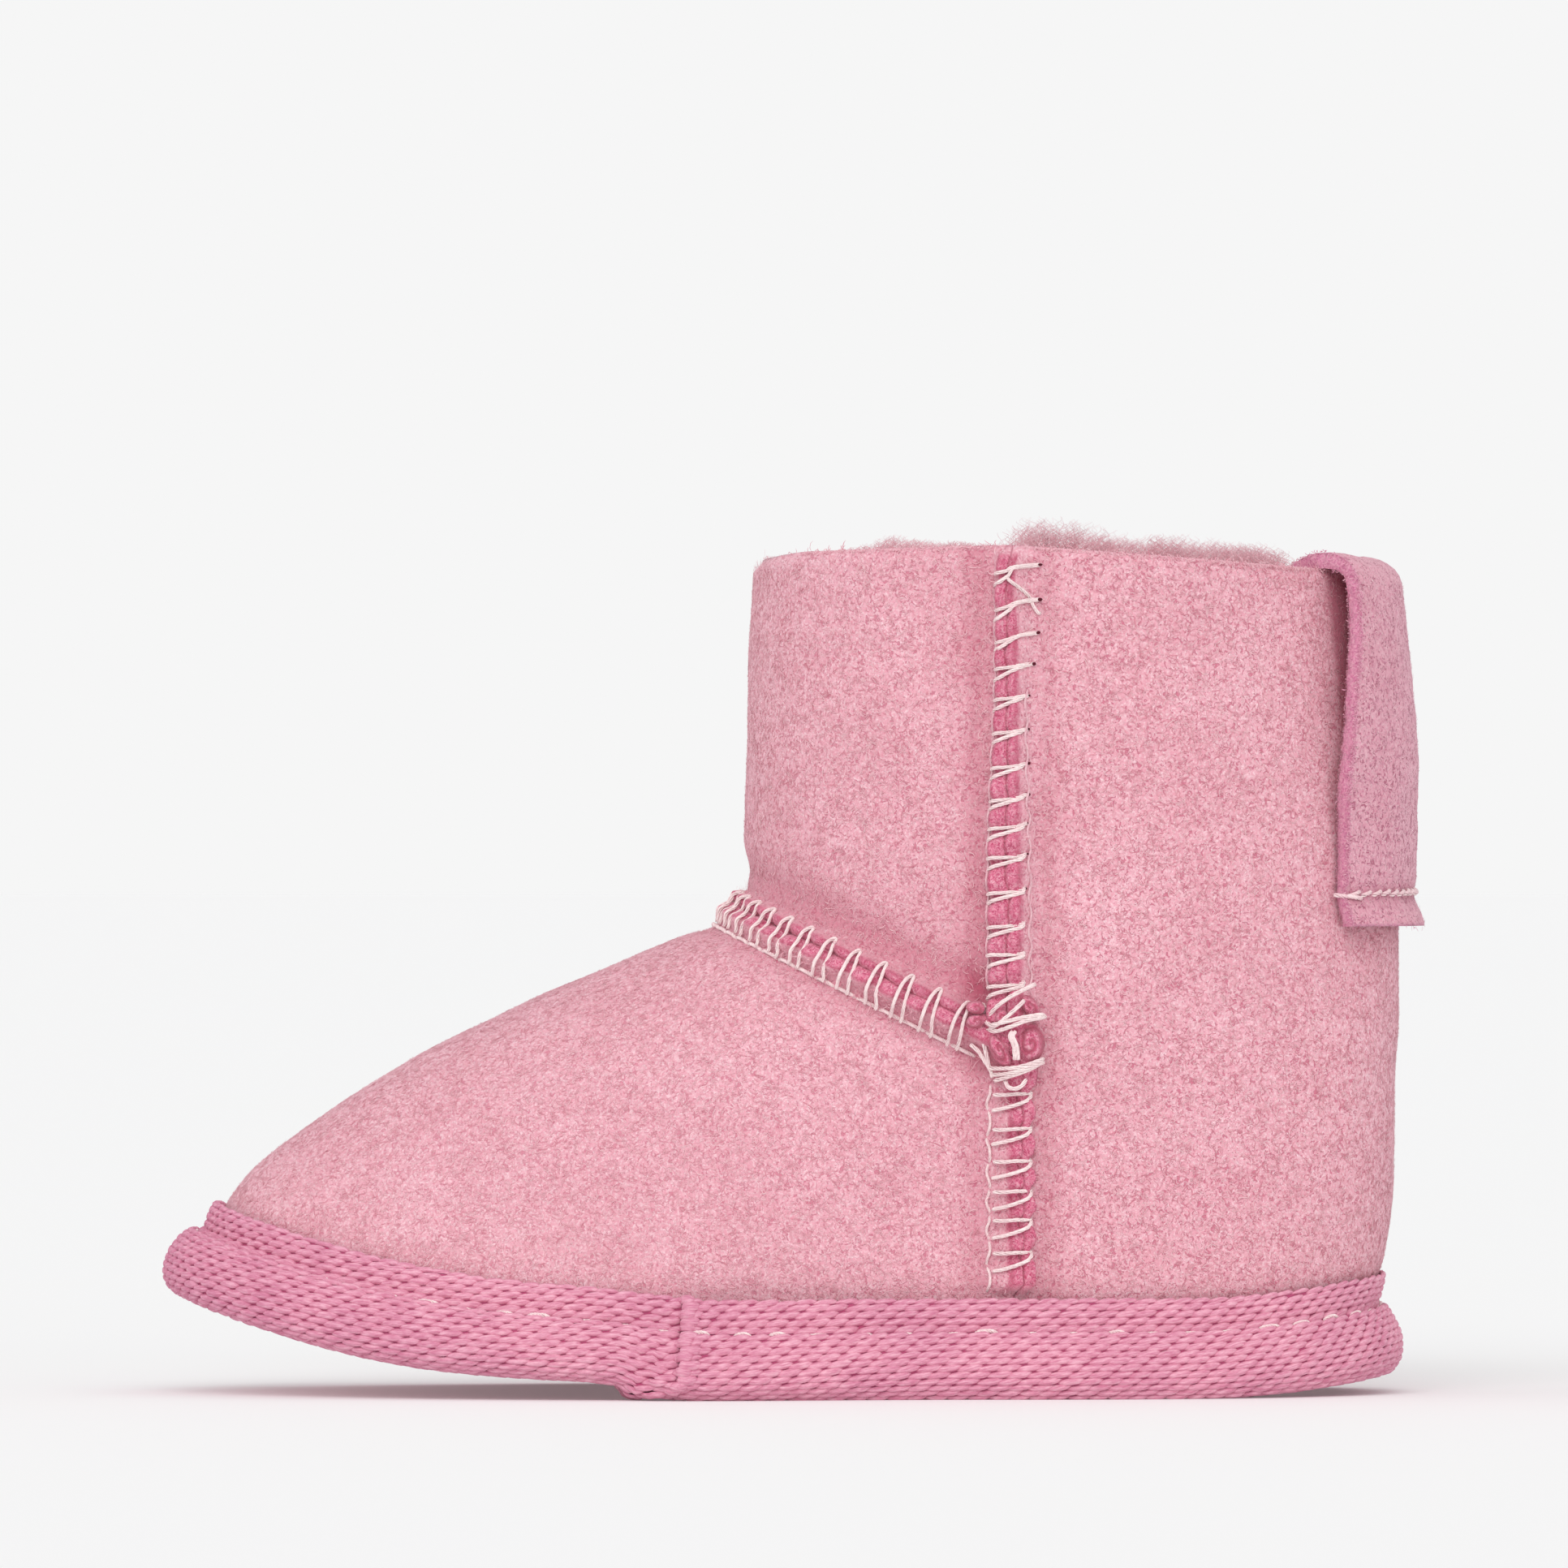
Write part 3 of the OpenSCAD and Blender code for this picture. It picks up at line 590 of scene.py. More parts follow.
class SideSeam:
    """The raised edges lean forward above the junction and back below it."""

    slant = 0.42

    def __init__(self, side):
        self.side = side
        upper = np.arange(BOOT_H - 3.7, JUNCTION_Z + 4.5, -SIDE_PITCH)
        lower = np.arange(JUNCTION_Z - 6.6, TAPE_TOP_H + 1.5 - 0.8, -SIDE_PITCH)
        stitch = np.concatenate([upper, lower])
        self.stitches = stitch + 0.25 * np.sin(stitch * 2.3 + side)

    def crest(self, z, behind):
        """Width of each raw edge: narrow in front at the collar, narrow behind near the sole."""
        low = smooth((36 - z) / 4)
        if behind:
            high = mix(mix(1.6, 1.2, smooth((z - 52) / 18)), 0.7, smooth((z - 79) / 6))
            return mix(high, 1.15, low)
        return mix(mix(1.95, 1.15, smooth((z - 55) / 22)), 1.65, low)

    def foot(self, z, behind):
        low = smooth((36 - z) / 4)
        return self.crest(z, behind) + (mix(1.2, 0.7, low) if behind else mix(0.8, 1.9, low))

    def hole(self, z):
        """How far behind the seam the needle went in."""
        return 1.75 + 1.15 * smooth((z - 71) / 10) - 0.2 * smooth((58 - z) / 10)

    def lean(self, z):
        return mix(1.65, -0.75, smooth((z - 32) / 9))

    def width(self, z):
        return 1 + 0.32 * np.exp(-(((z - JUNCTION_Z + 0.5) / 2.7) ** 2))

    def ends(self, z):
        """The ridge flattens towards the collar."""
        return smooth((BOOT_H + 0.4 - z) / 3.2)

    def wobble(self, z):
        return 0.3 * noise(np.stack([0 * z, 0 * z + self.side, z], -1), 2.6, 13)

    def frame(self, s):
        s = np.asarray(s, float)
        zero, one = 0 * s, 1 + 0 * s
        line = np.stack([SEAM_X * one, self.side * half_w(s), s], -1)
        front = np.stack([-one, zero, zero], -1)
        return line, front, -front, np.stack([self.lean(s) / LIP_H, self.side * one, zero], -1)


class InstepSeam:
    """The seam across the instep, s from the left junction (negative) to the right one."""

    slant = 0.0

    def __init__(self):
        self.angles = np.linspace(-90, 90, 721)
        line = skin("vamp", 1.0, self.angles)
        steps = np.linalg.norm(np.diff(line, axis=0), axis=1)
        length = np.concatenate([[0], np.cumsum(steps)])
        self.length = length - length[-1] / 2
        self.reach = self.length[-1]
        count = int((self.reach - 2.9) / INSTEP_PITCH)
        stitch = np.arange(-count, count + 1) * INSTEP_PITCH
        self.stitches = stitch + 0.25 * np.sin(stitch * 1.9)

    def crest(self, s, behind):
        return (1.15 if behind else 1.6) + 0 * s

    def foot(self, s, behind):
        return (2.3 if behind else 3.5) + 0 * s

    def width(self, s):
        return 1 + 0 * s

    def ends(self, s):
        return 1 + 0 * s

    def wobble(self, s):
        return 0.22 * noise(np.stack([s, 0 * s, 0 * s], -1), 2.6, 14)

    def out(self, a):
        n = instep_normal(a)
        n[..., 2] *= mix(1, 0.2, np.abs(sind(a)))
        return n

    def angle(self, s):
        return np.interp(s, self.length, self.angles)

    def frame(self, s):
        a = self.angle(s)
        line = skin("vamp", 1.0, a)
        along = unit(skin("vamp", 1.0, a + 0.5) - skin("vamp", 1.0, a - 0.5))
        front = skin("vamp", 0.97, a) - line
        back = skin("shaft", 0.03, a) - line
        front = unit(front - (front * along).sum(-1, keepdims=True) * along)
        back = unit(back - (back * along).sum(-1, keepdims=True) * along)
        return line, front, back, self.out(a)


SIDES = {-1: SideSeam(-1), 1: SideSeam(1)}
INSTEP = InstepSeam()


def seam_point(seam, s, d, h):
    """d is negative on the panel in front of the seam and positive behind it."""
    line, front, back, out = seam.frame(s)
    d = np.asarray(d, float)
    way = np.where((d < 0)[..., None], front, back)
    return line + np.abs(d)[..., None] * way + np.asarray(h, float)[..., None] * out


def pinch(seam, s):
    """1 where a stitch pulls the seam's edges down, and 0 between stitches."""
    gap = np.min(np.abs(np.asarray(s)[..., None] - seam.stitches), -1)
    return np.exp(-((gap / 0.7) ** 2))


def lip(seam, s, d, behind):
    """How far a turned-out edge stands out at a distance d from the seam, whether the
    place is on its raw cut face, and how much painted shade the cut face's borders take."""
    pulled = pinch(seam, s - seam.slant * (1 + 0.7 * np.where(behind, d, -d)))
    wide = seam.width(s)
    crest = seam.crest(s, behind) * wide * (1 - 0.24 * pulled)
    foot = seam.foot(s, behind) * wide * (1 - 0.05 * pulled)
    fall = 1 - smooth((d - crest + 0.25) / (foot - crest + 0.25))
    inside = 1 - 0.22 * smooth((0.5 - d) / 0.5)
    height = LIP_H * seam.ends(s) * (1 - 0.42 * pulled) * fall * inside
    cut = smooth((crest + 0.3 - d) / 0.3) * smooth((height - 0.5) / 0.5)
    # Painted shade along the raw face's border and along a line inside it.
    rim = np.exp(-(((d - crest + 0.05) / 0.3) ** 2)) + 0.5 * np.exp(-(((d - 0.45 * crest) / 0.16) ** 2))
    return height, cut, cut * rim


# ---- Hide panels ----
EDGE_STEPS = np.array([5.4, 4.8, 4.3, 3.9, 3.5, 3.2, 2.9, 2.65, 2.4, 2.15, 1.9, 1.7, 1.5, 1.3, 1.1, 0.9,
                       0.7, 0.5, 0.32, 0.16, 0.0])


def panel_columns(patch, spacing):
    """Column codes: a share of the way to the seams' borders, then distances from the seam."""
    width = patch_depth(patch, 0.5) + WAIST_W
    count = int(width / spacing)
    return [("share", k / count) for k in range(count)] + [("gap", d) for d in EDGE_STEPS]


def column_angles(patch, t, codes, sign):
    depth = patch_depth(patch, t)
    edge = np.degrees(np.arccos(EDGE_STEPS[0] / depth))
    cols = []
    for kind, value in codes:
        cols.append(edge * value if kind == "share" else np.degrees(np.arccos(value / depth)))
    return sign * np.stack(cols, -1)


def panel_rows(patch, spacing):
    """Row codes: shares of the way to the instep seam, then distances from it."""
    height = {"vamp": 48, "shaft": 44, "heel": 82}[patch]
    count = int(height / spacing)
    if patch == "heel":
        return [("share", k / count) for k in range(count + 1)]
    return [("share", k / count) for k in range(count)] + [("gap", d) for d in EDGE_STEPS]


def panel_grid(patch, spacing):
    """t and angle of every point of a panel's grid."""
    rows, codes = panel_rows(patch, spacing), panel_columns(patch, spacing)
    ts, angles = [], []
    for kind, value in rows:
        high = patch_height(patch, 0.5)
        rough = value if kind == "share" else 1 - value / high
        rough_t = 1 - rough if patch == "shaft" else rough
        left = column_angles(patch, np.array(rough_t), codes[1:], -1)[::-1]
        right = column_angles(patch, np.array(rough_t), codes, 1)
        a = np.concatenate([left, right])
        high = patch_height(patch, cosd(a))
        border = 1 - EDGE_STEPS[0] / high if patch != "heel" else 1 + 0 * high
        t = border * value if kind == "share" else 1 - value / high
        ts.append(1 - t if patch == "shaft" else t)
        angles.append(a)
    return np.stack(ts), np.stack(angles)


def to_instep(patch, t, a):
    """Distance to the instep seam, and where along it."""
    high = patch_height(patch, cosd(a))
    far = {"vamp": (1 - t) * high, "shaft": t * high}.get(patch, 99 + 0 * t)
    return far, np.interp(a, INSTEP.angles, INSTEP.length)


def collar_drop(patch, t, p):
    """The collar's front corner is worn round."""
    if patch != "shaft":
        return 0 * t
    front = 0.75 * smooth((2.5 - p[..., 0]) / 7) + 0.35 * smooth((-1.6 - p[..., 0]) / 2.2)
    return front * smooth((t - 0.9) / 0.1)


def panel_surface(patch, t, a):
    """Points of a panel's outer face with its raised edges, and what its material reads."""
    base = skin(patch, t, a)
    normal = skin_normal(patch, t, a)
    d_side = np.abs(base[..., 0] - SEAM_X)
    d_instep, s_instep = to_instep(patch, t, a)
    z = base[..., 2]
    behind = int(patch == "heel")
    lift_side, raw, rim = np.zeros_like(t), np.zeros_like(t), np.zeros_like(t)
    shift = np.zeros_like(t)
    for sign, seam in SIDES.items():
        mine = (a < 0) if sign < 0 else (a >= 0)
        above = smooth((z - TAPE_TOP_H - 0.2) / 1.6)
        height, cut, border = lip(seam, z, d_side, behind)
        lift_side = np.where(mine, above * height, lift_side)
        raw = np.where(mine, above * cut, raw)
        rim = np.where(mine, above * border, rim)
        shift = np.where(mine, seam.wobble(z), shift)
    out_side = np.stack([SIDES[1].lean(z) / LIP_H, np.where(a < 0, -1.0, 1.0), 0 * t], -1)
    lift, out = lift_side, out_side
    if patch != "heel":
        height, cut, border = lip(INSTEP, s_instep, d_instep, int(patch == "shaft"))
        closer = height > lift_side
        lift = np.where(closer, height, lift_side)
        raw, rim = np.maximum(raw, cut), np.maximum(rim, border)
        out = np.where(closer[..., None], INSTEP.out(a), out_side)
    valley = 0.35 * np.exp(-(((d_side - 3.9) / 1.5) ** 2)) + 0.45 * np.exp(-(((d_instep - 4.4) / 1.7) ** 2))
    free = smooth((np.minimum(d_side, d_instep) - 3) / 8)
    swell = free * (0.5 * noise(base, 17, 3) + 0.16 * noise(base, 6.5, 4)) + 0.05 * noise(base, 1.6, 5)
    swell = swell + 0.12 * smooth(lift / LIP_H) * noise(base, 1.1, 6)
    if patch == "vamp":
        swell = swell - 0.45 * smooth((t - 0.08) / 0.3) * (1 - smooth((t - 0.84) / 0.12))
    else:
        worn = 0.4 + 0.35 * smooth((3 - base[..., 0]) / 6)
        swell = swell - worn * smooth(1 - (1 - t) * patch_height(patch, cosd(a)) / 1.1) ** 2
    if patch != "shaft":
        swell = swell - 0.25 * np.exp(-(((t * patch_height(patch, cosd(a)) - 3.2) / 1.6) ** 2))
    points = base + normal * (swell - valley)[..., None] + out * lift[..., None]
    points[..., 0] += shift * (1 - smooth(d_side / 2.4))
    if patch != "heel":
        points[..., 2] += INSTEP.wobble(s_instep) * (1 - smooth(d_instep / 2.4)) * smooth(d_side / 3)
    points[..., 2] -= collar_drop(patch, t, base)
    nearest = np.minimum(d_side, d_instep)
    # Painted shade: beside the seams' valleys, a dark line in the crevice where two panels meet, and along
    # the raw edges' borders.
    shade = 0.3 * np.exp(-(((d_side - 3.6) / 1.5) ** 2)) + 0.34 * np.exp(-(((d_instep - 3.8) / 1.9) ** 2))
    crevice_shade = 0.75 * smooth((0.2 - nearest) / 0.18) * (0.7 + 0.3 * noise(base, 1.6, 7))
    shade = shade * (1 - raw) * (0.75 if patch == "heel" else 1.0) + crevice_shade
    shade = shade + rim * (0.6 + 0.35 * noise(base, 0.9, 8))
    if patch == "shaft":
        # Painted shade in the crease above the instep seam and beside the side seams.
        shade = shade + 0.2 * np.exp(-((d_instep / 10.0) ** 2)) * (1 - raw)
        shade = shade + 0.14 * np.exp(-((d_side / 8.0) ** 2)) * (1 - raw)
    if patch == "heel":
        # Painted shadow on the heel under the pull tab's sides.
        under = smooth((TAB_WRAP - 0.8 - np.abs(a)) / 3)
        shade = shade + 0.8 * under * smooth((z - 58) / 8) * (1 - smooth((z - 85) / 2))
    return points, {"edge": raw, "shade": np.clip(shade, 0, 1)}


def build_panel(patch, node):
    t, a = panel_grid(patch, PANEL_STEP)
    outer, values = panel_surface(patch, t, a)
    inner = skin(patch, t, a, HIDE_T)
    inner[..., 2] -= collar_drop(patch, t, inner)
    points, faces = closed_sheet(outer, inner, turned=patch in ("shaft", "heel"))
    both = {key: np.concatenate([v.ravel(), v.ravel() * (key == "edge")]) for key, v in values.items()}
    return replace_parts(mesh_object(node, points, faces, SUEDE, values=both), node)


for patch, node in PANEL_NODES.items():
    build_panel(patch, node)


# ---- Nap: short curled fibres that lie on the suede ----
def nap_ribbons(root, n, rng, size, stand, flow, spread=0.3):
    """Points, quads and tints of flat curled fibres; flow is each one's starting turn and
    spread how much their tints differ."""
    count = len(root)
    u = unit(np.cross(n, [0.2, 0.1, 1.0]))
    v = np.cross(n, u)
    steps = 4
    length = size * rng.gamma(6, 1 / 6, count)
    curl = rng.choice([-1, 1], count) * rng.uniform(0.4, 2.6, count)
    s = np.linspace(0, 1, steps)
    turn = flow[:, None] + curl[:, None] * s
    way = np.cos(turn)[..., None] * u[:, None] + np.sin(turn)[..., None] * v[:, None]
    side = np.cross(n[:, None], way)
    path = np.cumsum(way * (length / (steps - 1))[:, None, None], axis=1)
    lift = stand * np.abs(rng.normal(0.6, 0.5, count))
    rise_up = (0.02 + lift[:, None] * np.sin(np.pi * np.clip(s * rng.uniform(0.5, 1.0, (count, 1)), 0, 1)))
    spine = root[:, None] + path + n[:, None] * rise_up[..., None]
    half = rng.uniform(0.03, 0.06, count)[:, None] * np.interp(s, [0, 0.3, 0.8, 1], [0.5, 1, 0.9, 0.3])
    edge = side * half[..., None]
    points = np.stack([spine - edge, spine + edge], 2).reshape(-1, 3)
    local = np.array([[2 * k, 2 * k + 1, 2 * k + 3, 2 * k + 2] for k in range(steps - 1)])
    faces = (np.arange(count)[:, None, None] * 2 * steps + local).reshape(-1, 4)
    tint = np.repeat(np.clip(rng.normal(0.5, spread, count), 0, 1), 2 * steps)
    return points, faces, tint


def panel_samples(patch, density, rng):
    """Random (t, angle) places on a panel, evenly spread over its area."""
    t_edges, a_edges = np.linspace(0.02, 1, 61), np.linspace(-89.5, 89.5, 121)
    t, a = np.meshgrid(t_edges, a_edges, indexing="ij")
    p = skin(patch, t, a)
    du, dv = p[1:, :-1] - p[:-1, :-1], p[:-1, 1:] - p[:-1, :-1]
    count = rng.poisson(np.linalg.norm(np.cross(du, dv), axis=-1) * density)
    i, j = np.nonzero(count)
    i, j = np.repeat(i, count[i, j]), np.repeat(j, count[i, j])
    return t_edges[i] + rng.random(len(i)) / 61, a_edges[j] + rng.random(len(j)) * 179 / 120


def build_nap(patch, node, density, seed):
    rng = np.random.default_rng(seed)
    t, a = panel_samples(patch, density, rng)
    root, values = panel_surface(patch, t, a)
    off_ground = root[:, 2] - rise(root[:, 0])
    off_seam = np.abs(skin(patch, t, a)[:, 0] - SEAM_X)
    keep = (values["edge"] < 0.4) & (off_ground > TAPE_TOP_H - 1) & (off_seam > 0.6)
    keep &= rng.random(len(t)) < 1 - 0.6 * values["shade"]
    t, a, root = t[keep], a[keep], root[keep]
    n = skin_normal(patch, t, a)
    flow = 3.0 * noise(root, 6, 21) + 2.2 * noise(root, 1.5, 22) + rng.normal(0, 0.9, len(root))
    spread = 0.23 if patch == "vamp" else 0.36
    for name, part in (("left", a < 0), ("right", a >= 0)):
        points, faces, tint = nap_ribbons(root[part], n[part], rng, 0.6, 0.045, flow[part], spread)
        mesh_object("{}_nap_{}".format(node, name), points, faces, NAP, values={"tint": tint})


NAP_DENSITY = 6.5
for seed, (patch, node) in enumerate(PANEL_NODES.items(), 1):
    build_nap(patch, node, NAP_DENSITY, seed)


# ---- Wool lining ----
def build_fleece(patch, node):
    """The wool's bed: a lumpy layer behind the hide, from the insole to the collar."""
    t, a = np.meshgrid(np.linspace(0, 0.988, 90), np.linspace(-89.7, 89.7, 130), indexing="ij")
    outer = skin(patch, t, a, HIDE_T + 0.3)
    inner = skin(patch, t, a, HIDE_T + 0.3 + PILE_T)
    n = skin_normal(patch, t, a)
    inner = inner + n * (0.9 * noise(inner, 2.6, 31) + 0.5 * noise(inner, 1.1, 32))[..., None]
    if patch == "heel":
        # Pressed thin under the strap, so that its inner leg has room to lean.
        notch = (smooth((TAB_WRAP + 15 - np.abs(a)) / 12) * smooth((t - 0.77) / 0.06))[..., None]
        outer = mix(outer, skin(patch, t, a, HIDE_T + 0.08), notch)
        inner = mix(inner, outer, 0.99 * notch)
    points, faces = closed_sheet(outer, inner, turned=patch in ("shaft", "heel"))
    piece = mesh_object(node, points, faces, WOOL, slot="wool", values={"tint": np.full(len(points), 0.3)})
    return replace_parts(piece, node)


for patch, node in PANEL_NODES.items():
    build_fleece(patch, node + "_fleece")


def curly_strands(root, way, side, up, length, curl, turns, steps, phase):
    """Centre lines of many curled fibres at once."""
    s = np.linspace(0, 1, steps)[None]
    w = 2 * np.pi * turns[:, None] * s + phase[:, None]
    grow = np.minimum(1, s * 3) * curl[:, None]
    path = root[:, None] + way[:, None] * (length[:, None] * s)[..., None]
    return path + side[:, None] * (grow * np.cos(w))[..., None] + up[:, None] * (grow * np.sin(w))[..., None]


def strand_piece(name, paths, radius, tint):
    """Three-sided tubes around centre lines with the same number of points."""
    tangent = unit(np.gradient(paths, axis=1))
    ref = unit(np.cross(tangent, np.array([0.31, 0.53, 0.79])))
    other = np.cross(tangent, ref)
    count, m = paths.shape[:2]
    girth = (radius[:, None] * np.interp(np.linspace(0, 1, m), [0, 0.7, 1], [1, 0.9, 0.35]))[..., None]
    turns = [2 * np.pi * k / 3 for k in range(3)]
    rings = [paths + (np.cos(w) * ref + np.sin(w) * other) * girth for w in turns]
    points = np.stack(rings, 2).reshape(-1, 3)
    faces = (np.arange(count)[:, None, None] * m * 3 + grid_faces(m, 3, closed=True)).reshape(-1, 4)
    return mesh_object(name, points, faces, WOOL, slot="wool", values={"tint": np.repeat(tint, m * 3)})


def wool_height(x):
    """How far the wool stands above the collar: a low mound in front and a tuft behind the seams."""
    mound = 1.3 * np.exp(-(((x - 12.5) / 4.5) ** 2))
    tuft = 0.9 * np.exp(-(((x - 27.5) / 2.8) ** 2)) * smooth((x - 22.6) / 1.6)
    ridge = 2.1 * smooth((x - 22.6) / 2.2)
    return mound + tuft + ridge - 1.5 * smooth((8 - x) / 8)


def build_collar_wool(patch, side, count, seed):
    """Crimped wool in tufts around the opening, rising over the collar."""
    rng = np.random.default_rng(seed)
    a = side * rng.uniform(0, 89.5, count)
    depth = HIDE_T + rng.uniform(0.2, PILE_T + 0.4, count)
    t = rng.uniform(0.945, 0.985, count)
    if patch == "heel":
        keep = np.abs(a) > TAB_WRAP + 0.8
        a, depth, t = a[keep], depth[keep], t[keep]
    n = skin_normal(patch, t, a)
    roots = skin(patch, t, a) - n * depth[:, None]
    along = unit(np.cross(n, [0, 0, 1.0]))
    collar = skin(patch, 1.0, a)[:, 2]
    stand = wool_height(roots[:, 0]) * rng.uniform(0.35, 1.0, len(a)) + 0.6 * noise(roots * [1, 1, 0], 3, 42)
    tilt = 0.4 * noise(roots * [1, 1, 0], 4.5, 43) + rng.normal(0, 0.2, len(a))
    lean = 0.4 * noise(roots * [1, 1, 0], 4.5, 44) - 0.15 + rng.normal(0, 0.2, len(a))
    way = unit(np.array([0, 0, 1.0]) + along * tilt[:, None] + n * lean[:, None])
    length = (collar - roots[:, 2] + stand).clip(0.6) / way[:, 2].clip(0.5)
    curl = rng.uniform(0.2, 0.5, len(a))
    paths = curly_strands(roots, way, along, n, length, curl, length * rng.uniform(0.45, 1.0, len(a)), 34,
                          rng.uniform(0, 6.28, len(a)))
    top = collar[:, None] + 0.15 + np.maximum(0, stand)[:, None]
    paths[..., 2] = np.where(paths[..., 2] > top, top + 0.25 * (paths[..., 2] - top), paths[..., 2])
    tint = np.clip(rng.normal(0.55, 0.25, len(a)), 0, 1)
    name = "collar_wool_{}_{}".format(patch, SIDE_NAMES[side])
    strand_piece(name, paths, rng.uniform(0.02, 0.036, len(a)), tint)


WOOL_SHARE = 1.0
for side in SIDE_NAMES:
    build_collar_wool("shaft", side, int(1200 * WOOL_SHARE), 45 + side)
    build_collar_wool("heel", side, int(1900 * WOOL_SHARE), 48 + side)


def build_rim_nap():
    """Short fibres standing along the collar's cut edge."""
    rng = np.random.default_rng(57)
    for patch, count in (("shaft", int(1500 * WOOL_SHARE)), ("heel", int(2200 * WOOL_SHARE))):
        a = rng.uniform(-89, 89, count)
        if patch == "shaft":
            a = a[skin(patch, 1.0, a)[:, 0] > 1.5]
        n, count = skin_normal(patch, 1.0, a), len(a)
        root = skin(patch, 1.0, a) - n * rng.uniform(0.1, 0.9, (count, 1))
        root[:, 2] -= collar_drop(patch, 1 + 0 * a, root)
        up = unit(np.array([0, 0, 1.0]) + 0.4 * n + rng.normal(0, 0.3, (count, 3)))
        flow = rng.normal(0, 0.6, count) + 1.57
        points, faces, tint = nap_ribbons(root, unit(n + 0.3 * up), rng, 0.34, 0.06, flow)
        mesh_object("rim_nap_" + patch, points, faces, NAP, values={"tint": 0.4 + 0.6 * tint})


build_rim_nap()


def build_inner_wool(patch, count, seed):
    """Shorter curls over the lining inside the shaft."""
    rng = np.random.default_rng(seed)
    t, a = rng.uniform(0.3, 0.97, count), rng.uniform(-88, 88, count)
    n = skin_normal(patch, t, a)
    root = skin(patch, t, a, HIDE_T + PILE_T - 0.2)
    if patch == "heel":
        clear = (np.abs(a) > TAB_WRAP + 6) | (t < 0.78)
        t, a, n, root = t[clear], a[clear], n[clear], root[clear]
    along = unit(np.cross(n, [0, 0, 1.0]))
    up = np.array([0, 0, 1.0])
    way = unit(-0.8 * n + along * rng.normal(0, 0.7, (len(t), 1)) + up * rng.normal(0, 0.7, (len(t), 1)))
    paths = curly_strands(root, way, along, up + 0 * n, rng.uniform(0.8, 2.0, len(t)),
                          rng.uniform(0.25, 0.6, len(t)), rng.uniform(0.7, 1.8, len(t)), 9,
                          rng.uniform(0, 6.28, len(t)))
    radius = rng.uniform(0.035, 0.06, len(t))
    strand_piece("inner_wool_" + patch, paths, radius, rng.uniform(0.3, 0.9, len(t)))


build_inner_wool("shaft", int(2600 * WOOL_SHARE), 51)
build_inner_wool("heel", int(3200 * WOOL_SHARE), 52)

# ---- Sole ----
def stations(q):
    """Edge frames at q, in degrees around the sole: 0 at the toe, 90 and 270 at the side
    seams and 180 at the heel; the left side is 180 to 360."""
    q = np.mod(q, 360)
    vamp = (q <= 90) | (q >= 270)
    a_vamp = np.where(q > 180, q - 360, q)
    a_heel = 180 - q
    a_vamp, a_heel = np.where(vamp, a_vamp, 0), np.where(vamp, 0, a_heel)
    edge_vamp, edge_heel = edge_frame("vamp", a_vamp), edge_frame("heel", a_heel)

    def pick(x, y):
        return np.where(vamp if x.ndim == 1 else vamp[:, None], x, y)

    edge = tuple(pick(x, y) for x, y in zip(edge_vamp, edge_heel))
    return edge, pick(wall_lean("vamp", a_vamp, edge_vamp), wall_lean("heel", a_heel, edge_heel))


def sole_level(edge, n, h):
    """A grid across the bootie at the height h, reaching n past the sole's edge."""
    rim = edge_point(edge, n, h)
    across = np.linspace(-1, 1, 61)
    level = np.ones_like(across)
    return np.stack([rim[:, None, 0] * level, rim[:, None, 1] * across, rim[:, None, 2] * level], -1)


def build_sole_plate(node, n, low, high, finish, slot, lumps=0.0):
    """A slab across the bootie between two heights above its curved underside."""
    edge, _ = stations(np.linspace(0, 180, 161))
    top, bottom = sole_level(edge, n, high), sole_level(edge, n, low)
    if lumps:
        swell = lumps * noise(top, 2.4, 51) + lumps * 0.5 * noise(top, 1.0, 52)
        top = top + np.array([0, 0, 1]) * swell[..., None]
    points, faces = closed_sheet(top, bottom)
    values = {key: np.full(len(points), 0.35 if key == "tint" else 0.0) for key in ("tint", "edge", "shade")}
    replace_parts(mesh_object(node, points, faces, finish, slot=slot, values=values), node)


build_sole_plate("outsole", 1.2, 1.0, 2.6, SUEDE, "suede")
build_sole_plate("insole", -2.1, 2.75, 4.2, SUEDE, "suede")
build_sole_plate("insole_fleece", -6.5, 4.3, 9.0, WOOL, "wool", 0.9)

# ---- Binding tape ----
LAP_Q, LAP_SLANT, LAP_T = 360 - 65.7, 3.4, 1.25


def bulge_at(x):
    return mix(3.2, 3.9, smooth(-x / 60))


def tape_outline(edge, lean, lap, up):
    """The tape's outer face across its width, from its upper edge to under the sole; up is
    how far its lower part is drawn up beside the lap."""
    x = edge[0][..., 0]
    b = bulge_at(x)
    zero = 0 * x

    def wall(h):
        return 0.28 + lean * np.clip((h - GROOVE_H) / (TAPE_TOP_H - GROOVE_H), 0, 1)

    sections = [
        (wall(TAPE_TOP_H) + 0.35, TAPE_TOP_H + zero),
        (wall(TAPE_TOP_H - 0.5) + TAPE_T * 0.95 + lap, TAPE_TOP_H - 0.15 + zero),
        (wall(TAPE_TOP_H - 1.4) + TAPE_T + 0.12 + lap, TAPE_TOP_H - 1.2 + zero),
        (wall(GROOVE_H + 0.9) + TAPE_T + 0.05 + lap, GROOVE_H + 0.9 + zero),
        (1.45 + lap, GROOVE_H + 0.15 + zero),
        (mix(1.6, b, 0.5) + lap, GROOVE_H - 0.35 + zero),
        (b - 0.35 + lap, GROOVE_H - 1.6 + zero),
        (b + 0.1 + lap, GROOVE_H * 0.52 + zero),
        (b - 0.2 + lap, 1.7 + 0.6 * up),
        (b - 1.1 + lap * 0.7, 0.5 + up),
        (1.4 + lap * 0.3, 0.05 + up),
        (-0.8 + zero, 0.02 + up),
        (-3.1 + zero, 0.02 + up),
    ]
    n = np.stack([s[0] for s in sections], -1)
    h = np.stack([s[1] for s in sections], -1)
    return n, h


